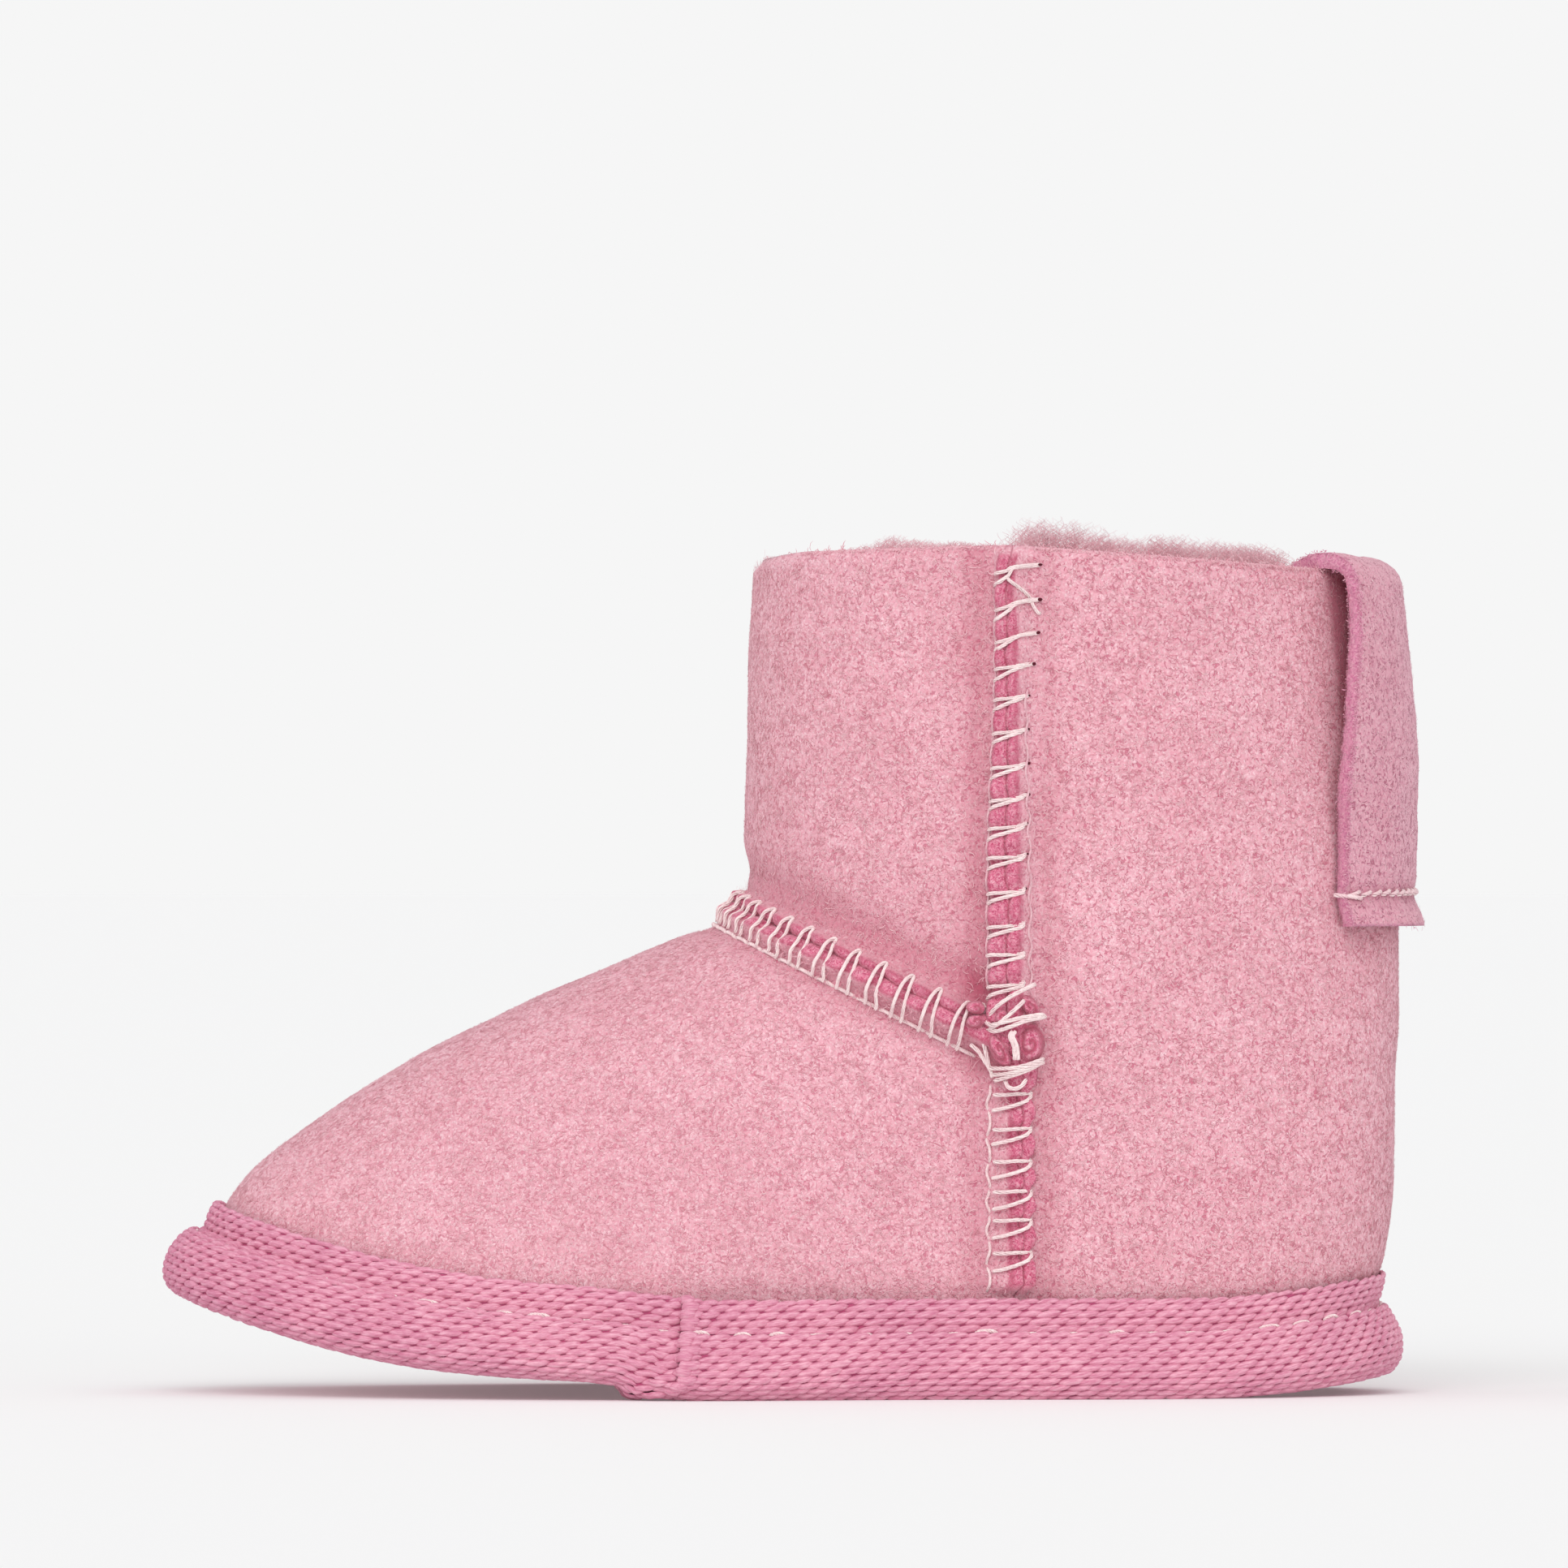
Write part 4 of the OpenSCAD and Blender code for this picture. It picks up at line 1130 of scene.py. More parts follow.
def lap_edge(v):
    """Where the overlapping end starts, in degrees around the sole: upright, then slanting
    towards the toe near the ground."""
    return LAP_Q + LAP_SLANT * smooth((v - 0.56) / 0.2)


def lap_offset(q, v):
    """How far the overlapping end stands out, at q around the sole and v across the tape."""
    past = lap_edge(v) - q
    return np.where(past > 0, LAP_T * smooth(past / 0.3) * (1 - smooth((past - 5) / 18)), 0)


FACE_ROWS, FACE_COLS = 661, 66


class TapeFace:
    """The tape's outer face as a function of length along the sole's edge and across it."""

    def __init__(self):
        q = np.concatenate([np.linspace(0, 90, 200)[:-1], np.linspace(90, 270, 260)[:-1],
                            np.linspace(270, 360, 400)])
        edge, lean = stations(q)
        up = 0.75 * smooth((q - LAP_Q - LAP_SLANT) / 1.2) * (1 - smooth((q - LAP_Q - 6) / 22))
        n0, h0 = tape_outline(edge, lean, 0 * q, up)
        v = np.linspace(0, 1, FACE_COLS)
        lap = lap_offset(q[:, None], np.linspace(0, 1, n0.shape[1])[None])
        n0 = n0 + lap * np.clip(1 - np.maximum(0, np.arange(n0.shape[1]) - 8) * 0.25, 0, 1)
        points = np.stack([edge_point(edge, n0[:, k], h0[:, k]) for k in range(n0.shape[1])], 1)
        across = np.concatenate([[0], np.cumsum(np.linalg.norm(np.diff(points, axis=1), axis=-1).mean(0))])
        self.width = across[-1]
        dense = []
        for row in points:
            fine = resample(row, 0.12)
            length = np.linspace(0, 1, len(fine))
            dense.append(np.stack([np.interp(v, length, fine[:, k]) for k in range(3)], -1))
        grid = np.array(dense)
        middle = grid[:, 30]
        length = np.concatenate([[0], np.cumsum(np.linalg.norm(np.diff(middle, axis=0), axis=1))])
        self.length = length[-1]
        self.u = np.linspace(0, 1, FACE_ROWS)
        want = self.u * self.length
        index = np.interp(want, length, np.arange(len(q)))
        low = np.minimum(index.astype(int), len(q) - 2)
        f = (index - low)[:, None, None]
        self.grid = grid[low] * (1 - f) + grid[low + 1] * f
        self.q = np.interp(want, length, q)
        du = np.roll(self.grid[:-1], -1, 0) - np.roll(self.grid[:-1], 1, 0)
        du = np.concatenate([du, du[:1]])
        dv = np.gradient(self.grid, axis=1)
        self.along, self.across = unit(du), unit(dv)
        self.normal = unit(np.cross(self.along, self.across))
        centre = np.array([0, 0, 5.0])
        if (self.normal[:, 20] * (self.grid[:, 20] - centre)).sum() < 0:
            self.normal = -self.normal

    def at(self, table, u, v):
        """Values of a table at places u, v, both from 0 to 1."""
        i = np.mod(u, 1) * (FACE_ROWS - 1)
        j = np.clip(v, 0, 1) * (FACE_COLS - 1)
        i0, j0 = np.minimum(i.astype(int), FACE_ROWS - 2), np.minimum(j.astype(int), FACE_COLS - 2)
        fi, fj = (i - i0)[..., None], (j - j0)[..., None]
        low = table[i0, j0] * (1 - fj) + table[i0, j0 + 1] * fj
        high = table[i0 + 1, j0] * (1 - fj) + table[i0 + 1, j0 + 1] * fj
        return low * (1 - fi) + high * fi


FACE = TapeFace()


def build_tape_bed():
    outer = FACE.grid[:-1] - FACE.normal[:-1] * 0.22
    inner = outer - FACE.normal[:-1] * 0.5
    rows, cols = outer.shape[:2]
    ring = np.concatenate([outer, inner[:, ::-1]], 1)
    faces = grid_faces(rows + 1, 2 * cols, closed=True)
    faces = np.where(faces >= rows * 2 * cols, faces - rows * 2 * cols, faces)
    # Depth 0: the bed between the grains shows the tape's painted shade colour.
    values = {key: np.zeros(rows * 2 * cols) for key in ("depth", "along", "across", "row")}
    piece = mesh_object("binding_tape", ring.reshape(-1, 3), faces, TAPE, slot="woven_tape", values=values)
    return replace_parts(piece, "binding_tape")


build_tape_bed()

GRAIN, UPPER_ROWS, UPPER_SHARE, ROW_STEP = 2.1, 5, 0.245, 0.76


def tape_rows():
    """Middle and half width of each row of plaited yarn, as shares of the tape's width."""
    upper = np.linspace(0.012, UPPER_SHARE - 0.012, UPPER_ROWS + 1)
    lower = np.linspace(UPPER_SHARE + 0.01, 1, int(FACE.width * (1 - UPPER_SHARE) / ROW_STEP) + 1)
    edges = [(p, q) for rows in (upper, lower) for p, q in zip(rows[:-1], rows[1:])]
    return np.array([((p + q) / 2, (q - p) / 2) for p, q in edges])


def add_grains(pile, u0, v0, half_v, lengths, rng, slant=0.45, lift_by=0.0):
    """Plump slanted grains of yarn, each lying over the end of the next."""
    ends, ring = 11, 6
    count = len(u0)
    s = np.linspace(-0.68, 0.68, ends)
    fat = (1 - np.abs(s / 0.7) ** 3.2) ** 0.5 * (1 - 0.2 * s)
    w = np.linspace(-1.45, 1.45, ring)
    thick = rng.uniform(0.92, 1.1, count)[:, None, None]
    u = u0[:, None, None] + s[None, :, None] * lengths[:, None, None] / FACE.length
    half = half_v[:, None, None]
    cross = np.sin(w)[None, None] * fat[None, :, None] * 1.05 * half * thick
    v = v0[:, None, None] + slant * s[None, :, None] * 2 * half + cross
    bow = np.cos(w)[None, None] * fat[None, :, None] * thick * 0.4
    lift = bow - 0.2 - 0.13 * smooth((np.abs(s) - 0.3) / 0.3)[None, :, None] + lift_by
    u, v, lift = np.broadcast_arrays(u, v, lift)
    points = FACE.at(FACE.grid, u, v) + FACE.at(FACE.normal, u, v) * lift[..., None]
    local = grid_faces(ends, ring)
    faces = (np.arange(count)[:, None, None] * ends * ring + local).reshape(-1, 4)
    along = (s[None, :, None] * lengths[:, None, None] + 0 * lift).ravel()
    across = (cross * FACE.width).ravel()
    # depth is 0 where the grain dips; the material paints shade there.
    depth = np.clip((lift - lift_by + 0.3) / 0.25, 0, 1).ravel()
    tag = np.repeat(rng.random(count) * 9, ends * ring)
    pile.add(points, faces, depth=depth, along=along, across=across, row=tag)


def degrees_to_u(q):
    return np.interp(q, FACE.q, FACE.u)


def build_tape_plaits():
    """The tape's plaited yarn in rows along it, each row half a grain on from the last."""
    rng = np.random.default_rng(61)
    rows = tape_rows()
    count = int(FACE.length / GRAIN)
    k, r = np.meshgrid(np.arange(count), np.arange(len(rows)), indexing="ij")
    k, r = k.ravel(), r.ravel()
    u0 = (k + 0.5 * (r % 2) + rng.normal(0, 0.04, len(k))) / count
    v0 = rows[r, 0] + rng.normal(0, 0.05, len(k)) * rows[r, 1]
    v0 = np.where(r == 0, v0 + 0.25 * rows[0, 1] * rng.normal(0, 1, len(k)), v0)
    from_fold = (degrees_to_u(lap_edge(v0)) - u0) * FACE.length
    keep = (from_fold < 0.1) | (from_fold > 1.3)
    u0, v0, r = u0[keep], v0[keep], r[keep]
    pile = Pile()
    add_grains(pile, u0, v0, rows[r, 1], np.full(len(r), GRAIN), rng)
    pile.piece("binding_tape_plaits", TAPE, slot="woven_tape")


build_tape_plaits()


def build_tape_lap():
    """The folded end of the tape over its start, with a corner that reaches the ground."""
    rng = np.random.default_rng(65)
    rows = tape_rows()
    rows = rows[rows[:, 0] < 0.93]
    pile = Pile()
    for first, shift, lift_by in ((0, 0.6, 0.3), (1, 1.15, 0.24)):
        some = rows[first::2]
        u0 = degrees_to_u(lap_edge(some[:, 0])) - (shift + rng.normal(0, 0.12, len(some))) / FACE.length
        add_grains(pile, u0, some[:, 0], some[:, 1] * 1.3, np.full(len(some), 2.1), rng, 0.25, lift_by)
    foot = degrees_to_u(LAP_Q + LAP_SLANT)
    corner = [(-0.2, 0.86, 0.1), (0.5, 0.9, 0.25), (1.1, 0.93, 0.4), (0.2, 0.93, 0.55), (-0.6, 0.95, 0.6)]
    for along, v, lift_by in corner:
        add_grains(pile, np.array([foot + along / FACE.length]), np.array([v]), np.array([rows[-1, 1] * 1.2]),
                   np.array([1.5]), rng, 0.6, lift_by)
    pile.piece("binding_tape_lap", TAPE, slot="woven_tape")


build_tape_lap()


def build_binding_stitches():
    """The running stitch in the tape's groove, sunk between the yarns for much of its way."""
    rng = np.random.default_rng(72)
    pile = Pile()
    pitch = 4.4
    for k in range(int(FACE.length / pitch)):
        start = (k * pitch + rng.normal(0, 0.3)) / FACE.length
        size = rng.uniform(1.8, 3.0) / FACE.length
        sunk = rng.choice([0.0, -0.14, -0.35], p=[0.25, 0.25, 0.5])
        if FACE.at(FACE.grid, np.array([start]), np.array([0.2]))[0, 0] < -38:
            sunk = -0.35
        u = start + np.linspace(0, size, 7)
        lift = np.array([-0.35, -0.02, 0.08, 0.1, 0.08, -0.02, -0.35]) + sunk
        v = np.full(7, UPPER_SHARE - 0.001)
        path = FACE.at(FACE.grid, u, v) + FACE.at(FACE.normal, u, v) * lift[:, None]
        twisted_thread(pile, path, 0.5, 1.6, 0.25, tint=0.15)
    replace_thread(pile, "binding_stitches")


build_binding_stitches()


# ---- Seam threads ----
def lay(seam, spots):
    """Points beside a seam from (s, d, h) triples, h above the raised edge there."""
    s, d, h = np.array(spots, float).T
    front, _, _ = lip(seam, s, np.abs(d), 0)
    rear, _, _ = lip(seam, s, np.abs(d), 1)
    return seam_point(seam, s, d, h + np.where(d < 0, front, rear))


def side_overlock(pile, seam, spots, rng):
    """Two strands per stitch, from a needle hole behind the ridge over to its front."""
    for s in spots:
        j = rng.normal(0, 0.12, 3)
        low = s < JUNCTION_Z
        front, rear = seam.crest(s, 0), seam.crest(s, 1)
        hole, climb = seam.hole(s), mix(0.95, 1.5, smooth((s - 72) / 10))
        apart = 0.62 if low else 0.42
        reach = 0.85 if low else 0.5
        top, bottom = s + apart + j[0], s - apart + j[1]
        path = [(top, -front - reach, -0.15), (top, -front - 0.4 * reach, 0.16),
                (top + 0.1, -front + 0.5, 0.26), (mix(top, s + climb, 0.3), 0.0, 0.34),
                (mix(top, s + climb, 0.7), rear, 0.3),
                (s + climb - 0.03, mix(rear, hole, 0.6), 0.22), (s + climb, hole, -0.1),
                (s + climb - 0.16, mix(rear, hole, 0.5), 0.24), (s + climb - 0.42 + 0.5 * j[1], rear, 0.32),
                (mix(bottom, s + climb, 0.4), 0.2, 0.42), (mix(bottom, s, 0.3), -front + 0.6, 0.32),
                (bottom - 0.2, -front - 0.4 * reach, 0.16), (bottom - 0.45, -front - reach, -0.15)]
        twisted_thread(pile, lay(seam, path))


def border_thread(pile, seam, spots, rear, gap, h, thick, slack):
    """A thin second thread along one border of the ridge, caught by each stitch."""
    order = np.sort(spots)
    path = []
    for a, b in zip(order[:-1], order[1:]):
        for s, out in ((a, 0.0), (mix(a, b, 0.5), slack)):
            d = seam.crest(s, int(rear)) + gap + out
            path.append((s, d if rear else -d, h))
    twisted_thread(pile, lay(seam, path), thick, 2.6, 0.3, tint=0.8)


for sign, name in SIDE_NAMES.items():
    seam = SIDES[sign]
    rng = np.random.default_rng(31 + sign)
    pile = Pile()
    upper = seam.stitches[seam.stitches > JUNCTION_Z]
    lower = seam.stitches[seam.stitches < JUNCTION_Z]
    side_overlock(pile, seam, seam.stitches, rng)
    loose = [(-3.5, 0.0, 0.0), (-3.7, 0.4, 0.3), (-4.1, 0.9, 0.3), (-4.9, 1.5, 0.1), (-5.6, 1.9, -0.1),
             (-6.2, 2.2, 0.12), (-7.0, 2.7, 0.1), (-7.2, 2.9, -0.2)]
    twisted_thread(pile, lay(seam, [(BOOT_H + s, d, h) for s, d, h in loose]), 0.4)
    border_thread(pile, seam, upper[upper < 78], True, 0.5, 0.12, 0.26, 0.15)
    border_thread(pile, seam, lower, True, 0.45, 0.12, 0.24, 0.15)
    border_thread(pile, seam, upper, False, 0.35, 0.1, 0.28, -0.12)
    replace_thread(pile, "side_overlock_" + name)


def build_instep_overlock():
    """Narrow loops over the instep ridge, each with its rounded top on the shaft's side."""
    rng = np.random.default_rng(37)
    pile = Pile()
    for s in INSTEP.stitches:
        way = -1 if s < 0 else 1
        j = rng.normal(0, 0.08, 2)
        lean = -0.3 * way
        path = [(s - 0.6 + j[0], -3.55, -0.1), (s - 0.62 + j[0], -3.0, 0.2),
                (s - 0.55 + 0.4 * lean, -1.8, 0.3),
                (s - 0.42 + lean, -0.4, 0.34), (s - 0.28 + lean, 0.9, 0.28), (s - 0.12 + lean, 1.5, 0.2),
                (s + 0.06 + lean, 1.62, 0.16), (s + 0.2 + lean, 1.45, 0.22), (s + 0.32 + lean, 0.8, 0.32),
                (s + 0.42 + lean, -0.4, 0.38), (s + 0.52 + 0.4 * lean, -1.8, 0.32),
                (s + 0.62 + j[1], -3.0, 0.2), (s + 0.64 + j[1], -3.55, -0.1)]
        twisted_thread(pile, lay(INSTEP, path), 0.4)
    replace_thread(pile, "instep_overlock")


build_instep_overlock()


def lock_stitches(pile, points_at, low, high, pitch, thick=0.44):
    """Straight stitches that dip into the hide at both ends."""
    for k in range(int((high - low) / pitch)):
        s = low + k * pitch + np.linspace(0.03, 0.97, 7) * pitch
        lift = np.array([-0.12, 0.14, 0.2, 0.22, 0.2, 0.14, -0.12])
        twisted_thread(pile, points_at(s, lift), thick, 1.3, 0.22, tint=0.2)


def instep_line(s, lift):
    a = INSTEP.angle(s)
    t = 1 - 3.75 / patch_height("vamp", cosd(a))
    points, _ = panel_surface("vamp", t, a)
    return points + skin_normal("vamp", t, a) * lift[:, None]


pile = Pile()
lock_stitches(pile, instep_line, -INSTEP.reach + 3.3, INSTEP.reach - 3.3, 2.5)
replace_thread(pile, "instep_topstitch")


def side_line(sign):
    """The line of the straight stitches beside one side seam."""
    def points_at(z, lift):
        t = (z - GROOVE_H) / (JUNCTION_Z - GROOVE_H)
        a = sign * np.degrees(np.arccos(2.75 / patch_depth("vamp", t)))
        points, _ = panel_surface("vamp", t, a)
        return points + skin_normal("vamp", t, a) * lift[:, None]
    return points_at


for sign, name in SIDE_NAMES.items():
    pile = Pile()
    lock_stitches(pile, side_line(sign), TAPE_TOP_H + 0.6, JUNCTION_Z - 3.4, 2.6, 0.34)
    replace_thread(pile, "side_topstitch_" + name)


# ---- Where the seams meet ----
def rolled_end(centre, across, tall, deep, side, turns, tilt):
    """A rolled end of hide: a swollen shape whose raw face coils, with painted shade in the coil's grooves
    and round its rim.
    """
    v, w = np.meshgrid(np.linspace(0, np.pi / 2 + 0.35, 40), np.linspace(0, 2 * np.pi, 73), indexing="ij")
    flat = np.sin(np.minimum(v, np.pi / 2)) ** 0.9
    x, z = across * flat * np.cos(w), tall * flat * np.sin(w)
    turned_x, turned_z = x * cosd(tilt) + z * sind(tilt), z * cosd(tilt) - x * sind(tilt)
    points = np.stack([turned_x, side * deep * np.cos(v), turned_z], -1)
    coil = 0.5 + 0.5 * np.cos(turns * 2 * np.pi * flat + w + noise(points + centre, 0.8, 90))
    points = points * (1 + 0.08 * noise(points + centre, 0.9, 91))[..., None] + centre
    points[..., 1] -= side * 0.3 * (1 - coil) * smooth((1.2 - flat) / 0.2)
    points = points + 0.05 * noise(points, 0.3, 92)[..., None]
    border = np.exp(-(((flat - 0.97) / 0.1) ** 2))
    # The second value is painted shade in the coil's grooves and round the rim.
    return points, np.clip(0.95 * (1 - coil) ** 1.5 + 0.55 * border, 0, 1)


def build_seam_ends(side, name):
    """The ridges' ends, rolled in where three seams meet."""
    pile = Pile()
    lumps = [(2.1, -0.4, 1.45, 2.15, 2.0, 1.7, 0), (-1.15, -1.1, 0.85, 2.1, 1.9, 1.3, -28),
             (2.0, 3.4, 0.85, 1.6, 1.75, 1.2, -35), (-0.95, 2.3, 0.75, 0.9, 1.9, 1.0, 20),
             (-3.6, 3.3, 1.0, 0.7, 1.7, 1.0, 10), (-3.6, 1.9, 1.0, 0.75, 1.6, 1.0, -10)]
    for dx, dz, across, tall, deep, turns, tilt in lumps:
        z = JUNCTION_Z + dz
        centre = np.array([SEAM_X + dx - 0.15, side * (half_w(z) + 0.95), z])
        points, shade = rolled_end(centre, across, tall, deep, side, turns, tilt)
        pile.add(points, grid_faces(*points.shape[:2], turned=side > 0), edge=1.0, shade=shade.ravel())
    pile.piece("seam_ends_" + name, SUEDE)


for sign, name in SIDE_NAMES.items():
    build_seam_ends(sign, name)


def build_knot(side, name):
    """Thread wrapped over the rolled ends, with a loose end and a small loop. Each wrap is a
    row of places: along the bootie and up from the junction's middle, and out from the wall."""
    pile = Pile()
    wraps = [
        [(-3.1, 2.9, 0.5), (-2.4, 1.6, 1.6), (-1.0, 1.8, 2.6), (1.0, 2.3, 3.0), (2.9, 2.6, 2.7),
         (3.4, 2.5, 1.6)],
        [(-2.9, 1.0, 0.6), (-1.6, 0.9, 2.0), (-0.1, 1.4, 2.9), (1.5, 2.0, 3.1), (3.1, 2.3, 2.6),
         (3.5, 2.4, 1.5)],
        [(-3.0, 0.7, 0.6), (-1.5, 1.6, 2.2), (-0.3, 2.6, 2.7), (1.0, 3.8, 2.5), (1.3, 4.1, 1.6)],
        [(-2.9, 1.5, 0.6), (-1.9, 3.1, 1.8), (-0.3, 4.4, 2.4), (2.0, 5.6, 2.5), (2.4, 5.7, 1.5)],
        [(-2.6, 3.5, 0.5), (-3.2, 2.0, 0.9), (-3.1, 0.5, 1.1), (-2.7, -1.3, 1.0), (-2.3, -3.1, 0.6)],
        [(-2.9, 3.8, 0.4), (-3.5, 1.7, 0.8), (-3.1, 0.0, 0.9), (-2.9, -0.6, 0.3)],
        [(-2.3, -3.0, 0.6), (-0.8, -3.0, 2.1), (0.9, -2.8, 2.9), (2.8, -2.2, 2.5), (3.3, -2.0, 1.5)],
        [(-2.0, -3.7, 0.6), (-0.4, -3.5, 2.2), (1.2, -3.1, 3.0), (2.9, -2.5, 2.4), (3.3, -2.4, 1.4)],
        [(-1.8, -4.3, 0.6), (-0.5, -3.9, 2.0), (1.0, -3.4, 2.8), (2.2, -2.9, 2.6), (2.8, -2.6, 1.7)],
        [(-0.7, -4.2, 1.4), (-0.4, -4.9, 2.3), (0.3, -5.1, 2.6), (1.0, -4.8, 2.7), (1.5, -4.1, 2.2)],
        [(-4.3, -0.5, 0.3), (-3.5, -1.2, 0.55), (-2.9, -2.1, 0.6), (-2.2, -3.2, 0.6), (-2.0, -4.0, 0.5)],
        [(0.0, 0.9, 2.7), (-0.2, 0.3, 3.0), (0.2, -0.7, 3.0), (0.3, -2.1, 2.8)],
        [(0.35, 0.9, 2.7), (0.1, 0.3, 3.1), (0.5, -0.7, 3.1), (0.65, -2.1, 2.8)],
    ]
    for wrap in wraps:
        x, z, out = np.array(wrap).T
        z, out = z + JUNCTION_Z, out + 0.4 * smooth((out - 1.2) / 1.0)
        twisted_thread(pile, np.stack([SEAM_X + x, side * (half_w(z) + out), z], -1), 0.46)
    replace_thread(pile, name)


for sign, name in SIDE_NAMES.items():
    build_knot(sign, "seam_knot_" + name)


def build_needle_shade_spots():
    """Painted shade of the deepest needle holes behind the upper stitches: small dark blobs."""
    pile = Pile()
    v, w = np.meshgrid(np.linspace(0, np.pi / 2, 5), np.linspace(0, 2 * np.pi, 11), indexing="ij")
    for side, seam in SIDES.items():
        rng = np.random.default_rng(77 + side)
        for s in seam.stitches[seam.stitches > JUNCTION_Z + 14]:
            size = rng.uniform(0.14, 0.28)
            climb = mix(0.95, 1.5, smooth((s - 72) / 10))
            centre = lay(seam, [(s + climb + 0.02, seam.hole(s) + 0.1, 0.1)])[0]
            offset = np.stack([size * np.sin(v) * np.cos(w), side * 0.22 * np.cos(v),
                               0.7 * size * np.sin(v) * np.sin(w)], -1)
            points = centre + offset * (1 + 0.3 * noise(offset + centre, 0.3, 78))[..., None]
            pile.add(points, grid_faces(5, 11, turned=side > 0), tint=0.0)
    finish = fibre_finish("painted_hole_shade", srgb(82, 18, 34), srgb(96, 26, 44), srgb(120, 40, 60), 0.0)
    pile.piece("needle_shade_spots", finish)


build_needle_shade_spots()


# ---- Pull tab ----
TAB_STITCH_Z = TAB_END_Z + 3.4
TAB_ROWS, TAB_INNER_OFF = 90, -5.1
TAB_CROWN_RISE, TAB_SAG = 2.4, 1.1


def tab_off(z):
    """How far the strap's middle lies from the shaft at a height."""
    return mix(0.45, 1.9, smooth((z - TAB_STITCH_Z) / 32)) + TAB_T / 2


def tab_line():
    """The tab's middle line as [offset from the shaft, height]: up, over the collar, down."""
    crown_z = COLLAR_BACK_Z - 1.2
    z = np.linspace(TAB_END_Z, crown_z, TAB_ROWS)
    up = np.stack([tab_off(z), z], -1)
    high = tab_off(crown_z)
    w = np.linspace(0, 180, 15)[1:-1]
    over_z = crown_z + TAB_CROWN_RISE * sind(w) - TAB_SAG * smooth(w / 180)
    middle, half = (high + TAB_INNER_OFF) / 2, (high - TAB_INNER_OFF) / 2
    over = np.stack([middle + half * cosd(w), over_z], -1)
    z = np.linspace(crown_z - TAB_SAG, COLLAR_BACK_Z - 11, 12)
    down = np.stack([TAB_INNER_OFF + 0 * z, z], -1)
    return np.concatenate([up, over, down])


def tab_place(off, z, a):
    t = np.minimum(1, (z - HEEL_Z) / (COLLAR_BACK_Z - HEEL_Z))
    p = skin("heel", t, a)
    n = skin_normal("heel", t, a)
    out = unit(np.stack([n[..., 0], n[..., 1], 0 * n[..., 0]], -1))
    step = (BOOT_H - COLLAR_BACK_Z) * (1 - cosd(a)) * smooth((z - 68) / 14)
    return np.stack([p[..., 0] + off * out[..., 0], p[..., 1] + off * out[..., 1], z + step], -1)


def tab_half(z):
    """Half of the angle that the tab spans around the shaft at a height, less its fringe."""
    middle = smooth((z - TAB_END_Z - 6) / 12) * (1 - smooth((z - 74) / 10))
    return TAB_WRAP - 1.2 + TAB_FLARE * (1 - smooth((z - TAB_END_Z) / 34)) + 2.2 * middle


def tab_faces(share):
    """The tab's outer and inner face, row by row along its middle line."""
    line = tab_line()
    rows = np.arange(len(line))
    v = unit(np.gradient(line, axis=0))
    normal = np.stack([v[:, 1], -v[:, 0]], -1)
    outside = rows < TAB_ROWS
    place = np.stack([line[:, 0], line[:, 1], 0 * rows], -1)
    wander = 0.9 * noise(place, 9, 80) + 0.25 * noise(place, 1.1, 81)
    half = tab_half(line[:, 1]) + wander * 0.6
    a = np.clip(share, -1, 1)[None] * half[:, None]
    flare = smooth((TAB_END_Z + 3.0 - line[:, 1]) / 3.0) * outside
    pulled = np.exp(-(((line[:, 1] - TAB_END_Z - 3.4) / 1.1) ** 2)) * outside
    bow = 0.35 * np.sin(np.pi * smooth((line[:, 1] - TAB_END_Z - 3.4) / 32)) * outside
    free = smooth((line[:, 1] - TAB_END_Z - 8) / 18) * smooth((105 - rows) / 18)
    stand = 0.95 * np.clip(share, -1, 1)[None] ** 2 * free[:, None]

    def face(side):
        dent = (0.3 if side > 0 else 0) * pulled
        off = line[:, 0] + side * TAB_T / 2 * normal[:, 0] + 0.8 * flare + bow - dent
        z = line[:, 1] + side * TAB_T / 2 * normal[:, 1]
        return tab_place(off[:, None] + stand, z[:, None] + 0 * a, a)

    outer, inner = face(1), face(-1)
    n = unit(outer - inner)
    wave = 0.2 * noise(outer, 6, 82) + 0.09 * noise(outer, 1.7, 83)
    return outer + n * wave[..., None], inner + n * (0.5 * wave)[..., None], pulled


def build_tab():
    """The strap, with a raw cut edge all round."""
    share = np.concatenate([-1 + 0.05 * np.linspace(0, 1, 6) ** 1.5, np.linspace(-0.93, 0.93, 60),
                            1 - 0.05 * np.linspace(1, 0, 6) ** 1.5])
    outer, inner, pulled = tab_faces(share)
    rows, cols = outer.shape[:2]
    points, faces = closed_sheet(outer, inner, turned=True)
    near_side = smooth((np.abs(share) - 0.985) / 0.012)[None] * np.ones((rows, 1))
    end = np.zeros((rows, cols))
    end[0], end[-1] = 1, 1
    raw = np.maximum(near_side, end).ravel()
    # Painted shade in the dent along the stitch line.
    shade = 0.3 * pulled[:, None] * np.ones((1, cols))
    values = {"edge": np.concatenate([raw, raw]), "shade": np.concatenate([shade.ravel(), 0 * shade.ravel()])}
    piece = mesh_object("pull_tab", points, faces, TAB_SUEDE, body="tab", slot="tab_leather", values=values)
    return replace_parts(piece, "pull_tab")


build_tab()


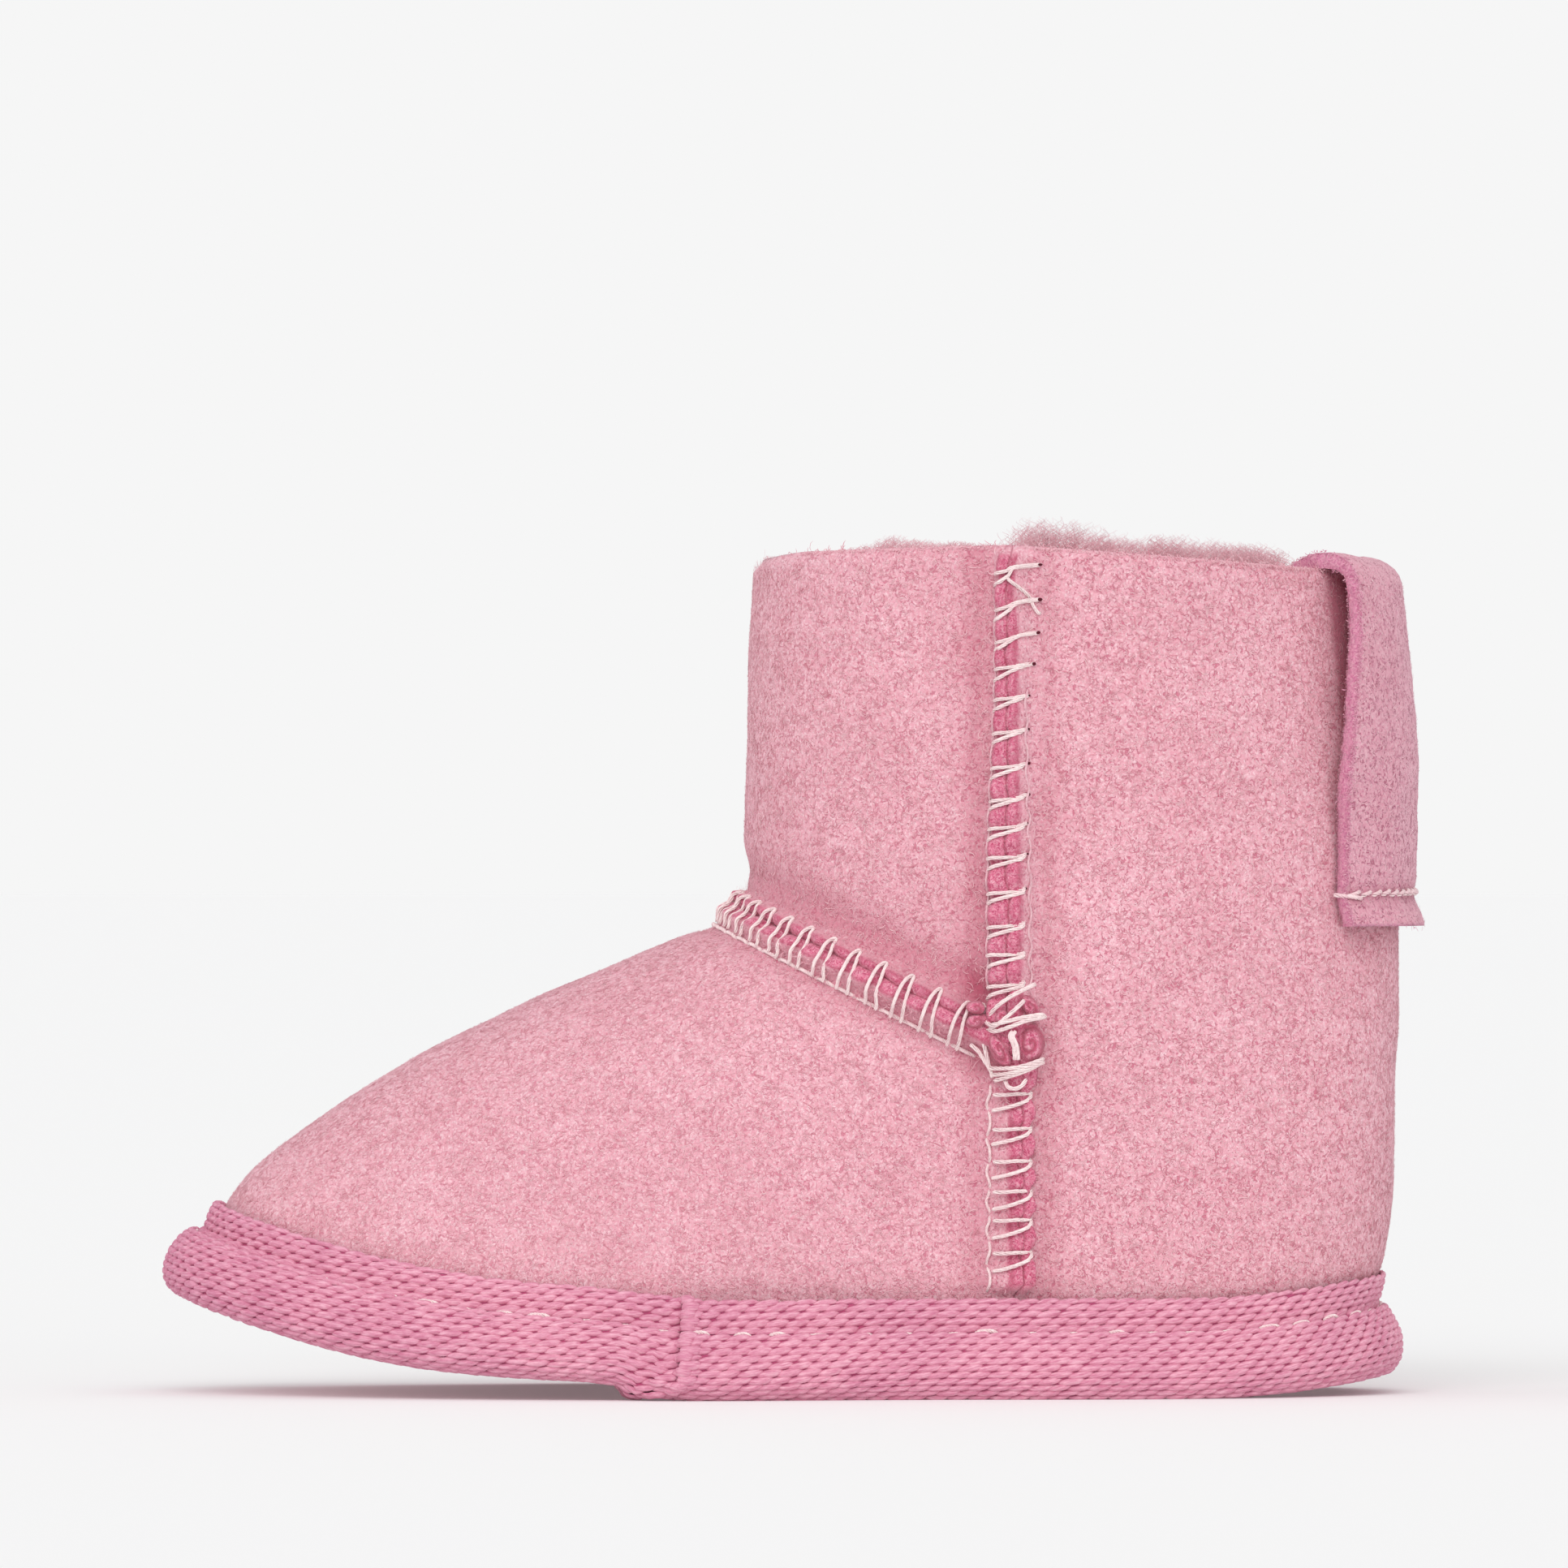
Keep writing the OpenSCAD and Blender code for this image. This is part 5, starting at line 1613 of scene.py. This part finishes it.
def build_tab_edges():
    """The cut edge's own face, a rounded rough strip along the strap's two long sides."""
    outer, inner, _ = tab_faces(np.array([-1.0, -0.97, 0.97, 1.0]))
    pile = Pile()
    steps = np.linspace(0, 1, 8)
    for col, beside in ((0, 1), (3, 2)):
        way = unit(outer[:, col] - outer[:, beside])
        rows = []
        for k in steps:
            p = mix(outer[:, col], inner[:, col], k)
            p = p + way * (0.16 * np.sin(np.pi * k) + 0.1 * noise(p, 0.5, 84))[:, None]
            rows.append(p)
        grid = np.stack(rows, 1)
        pile.add(grid, grid_faces(*grid.shape[:2], turned=col == 0), edge=1.0, shade=0.0)
    pile.piece("pull_tab_edges", TAB_SUEDE, body="tab", slot="tab_leather")


build_tab_edges()


def build_tab_nap():
    """Short fibres on the strap's face and a fringe along its cut edges."""
    rng = np.random.default_rng(85)
    outer, inner, _ = tab_faces(np.linspace(-1, 1, 81))
    rows, cols = outer.shape[:2]
    sheet = outer[:, 1:-1]
    count = 4200
    i, j = rng.integers(0, 88, count), rng.integers(0, sheet.shape[1] - 1, count)
    f, g = rng.random((count, 1)), rng.random((count, 1))
    root = mix(mix(sheet[i, j], sheet[i + 1, j], f), mix(sheet[i, j + 1], sheet[i + 1, j + 1], f), g)
    n = unit(outer - inner)[i, j + 1]
    points, faces, tint = nap_ribbons(root, n, rng, 0.5, 0.05, rng.uniform(0, 6.28, count))
    pile = Pile()
    pile.add(points, faces, tint=tint)
    for col, beside in ((0, 1), (cols - 1, cols - 2)):
        for face, other, share in ((outer, inner, 0.5), (inner, outer, 0.3), (None, None, 0.2)):
            many = int(count * 0.55 * share)
            i = rng.integers(0, rows - 1, many)
            f = rng.random((many, 1))
            if face is None:
                k = rng.random((many, 1))
                on_outer = mix(outer[i, col], outer[i + 1, col], f)
                on_inner = mix(inner[i, col], inner[i + 1, col], f)
                root = mix(on_outer, on_inner, k)
                n = unit(outer[i, col] - outer[i, beside])
            else:
                root = mix(face[i, col], face[i + 1, col], f)
                n = unit(unit(face[i, col] - face[i, beside]) + unit(face[i, col] - other[i, col]) * 0.7)
            points, faces, tint = nap_ribbons(root, n, rng, 0.26, 0.11, rng.uniform(0, 6.28, many))
            pile.add(points, faces, tint=tint)
    pile.piece("pull_tab_nap", TAB_NAP, body="tab", slot="tab_leather")


build_tab_nap()


def tab_stitches(name, off, z, count):
    """A row of slanted stitches through the strap; outside, a longer loose one starts it."""
    rng = np.random.default_rng(87)
    pile = Pile()
    reach = tab_half(z) - 0.5
    for k in range(count):
        share = (k + np.linspace(0.02, 0.98, 7)) / count
        a = mix(-reach, reach - 3, share)
        lift = np.array([-0.2, 0.12, 0.2, 0.22, 0.2, 0.12, -0.2]) * np.sign(off)
        slant = 0.5 * (share * count - k - 0.5) + rng.normal(0, 0.04)
        twisted_thread(pile, tab_place(off + lift, z + slant + 0.02 * k, a), 0.46, 2.2, 0.22, tint=0.3)
    if off > 0:
        a = np.linspace(-reach - 2.2, -reach + 3.5, 7)
        lift = np.array([-0.9, -0.5, 0.1, 0.3, 0.35, 0.3, -0.1])
        path = tab_place(off + lift, z + np.linspace(-0.1, -0.5, 7), a)
        twisted_thread(pile, path, 0.5, 2.2, 0.22, tint=0.3)
    replace_thread(pile, name, "tab")


tab_stitches("pull_tab_stitches", 0.45 + TAB_T - 0.25, TAB_STITCH_Z, 20)
tab_stitches("pull_tab_inner_stitches", TAB_INNER_OFF - TAB_T / 2 - 0.05, COLLAR_BACK_Z - 8.5, 18)


# ---- Stage, light and camera ----
def build_stage():
    f = Finish("floor")
    grain = f.noise(60, 2.0)
    finish = f.finish(f.ramp(grain, (0.3, (FLOOR, FLOOR, FLOOR)), (0.7, (FLOOR, FLOOR, FLOOR + 0.004))), 0.9)
    f.set(f.surface.inputs["Emission Color"], (WHITE, WHITE, WHITE, 1))
    f.set(f.surface.inputs["Emission Strength"], GLOW)
    size = 9000.0
    points = np.array([(-size, -size, 0), (size, -size, 0), (size, size, 0), (-size, size, 0)])
    mesh_object("floor", points, np.array([[0, 1, 2, 3]]), finish, body=None)


WHITE, GLOW = 0.922, 0.1
FLOOR = 0.961 * (1 - GLOW)
build_stage()

world = bpy.data.worlds.new("studio")
bpy.context.scene.world = world
world.use_nodes = True
tree = world.node_tree
tree.nodes.clear()
output = tree.nodes.new("ShaderNodeOutputWorld")
seen, lighting = tree.nodes.new("ShaderNodeBackground"), tree.nodes.new("ShaderNodeBackground")
seen.inputs["Color"].default_value = (WHITE, WHITE, WHITE, 1)
lighting.inputs["Color"].default_value = (1, 1, 1, 1)
lighting.inputs["Strength"].default_value = 0.655
path = tree.nodes.new("ShaderNodeLightPath")
chooser = tree.nodes.new("ShaderNodeMixShader")
tree.links.new(path.outputs["Is Camera Ray"], chooser.inputs[0])
tree.links.new(lighting.outputs[0], chooser.inputs[1])
tree.links.new(seen.outputs[0], chooser.inputs[2])
tree.links.new(chooser.outputs[0], output.inputs["Surface"])


def add_sun(name, direction, strength, angle):
    light = bpy.data.lights.new(name, "SUN")
    light.energy = strength
    light.angle = math.radians(angle)
    lamp = bpy.data.objects.new(name, light)
    bpy.context.scene.collection.objects.link(lamp)
    lamp.rotation_euler = Vector(direction).to_track_quat("-Z", "Y").to_euler()


add_sun("key", (0.15, 1.0, -0.75), 1.12, 40)
add_sun("fill", (-0.4, 1.0, -0.35), 0.5, 50)
add_sun("toe", (1.0, 0.05, -0.45), 0.34, 60)

camera_data = bpy.data.cameras.new("camera")
camera = bpy.data.objects.new("camera", camera_data)
bpy.context.scene.collection.objects.link(camera)
DISTANCE = 2.0
FRAME_W = 0.1653
target = Vector((0.0, 0.0, 0.0641))
camera.location = target + Vector((0, -DISTANCE, 0))
camera.rotation_euler = (target - camera.location).to_track_quat("-Z", "Y").to_euler()
camera_data.sensor_width = 36
camera_data.lens = 36 * DISTANCE / FRAME_W
camera_data.clip_end = 50
bpy.context.scene.camera = camera
bpy.context.scene.view_settings.view_transform = "Standard"
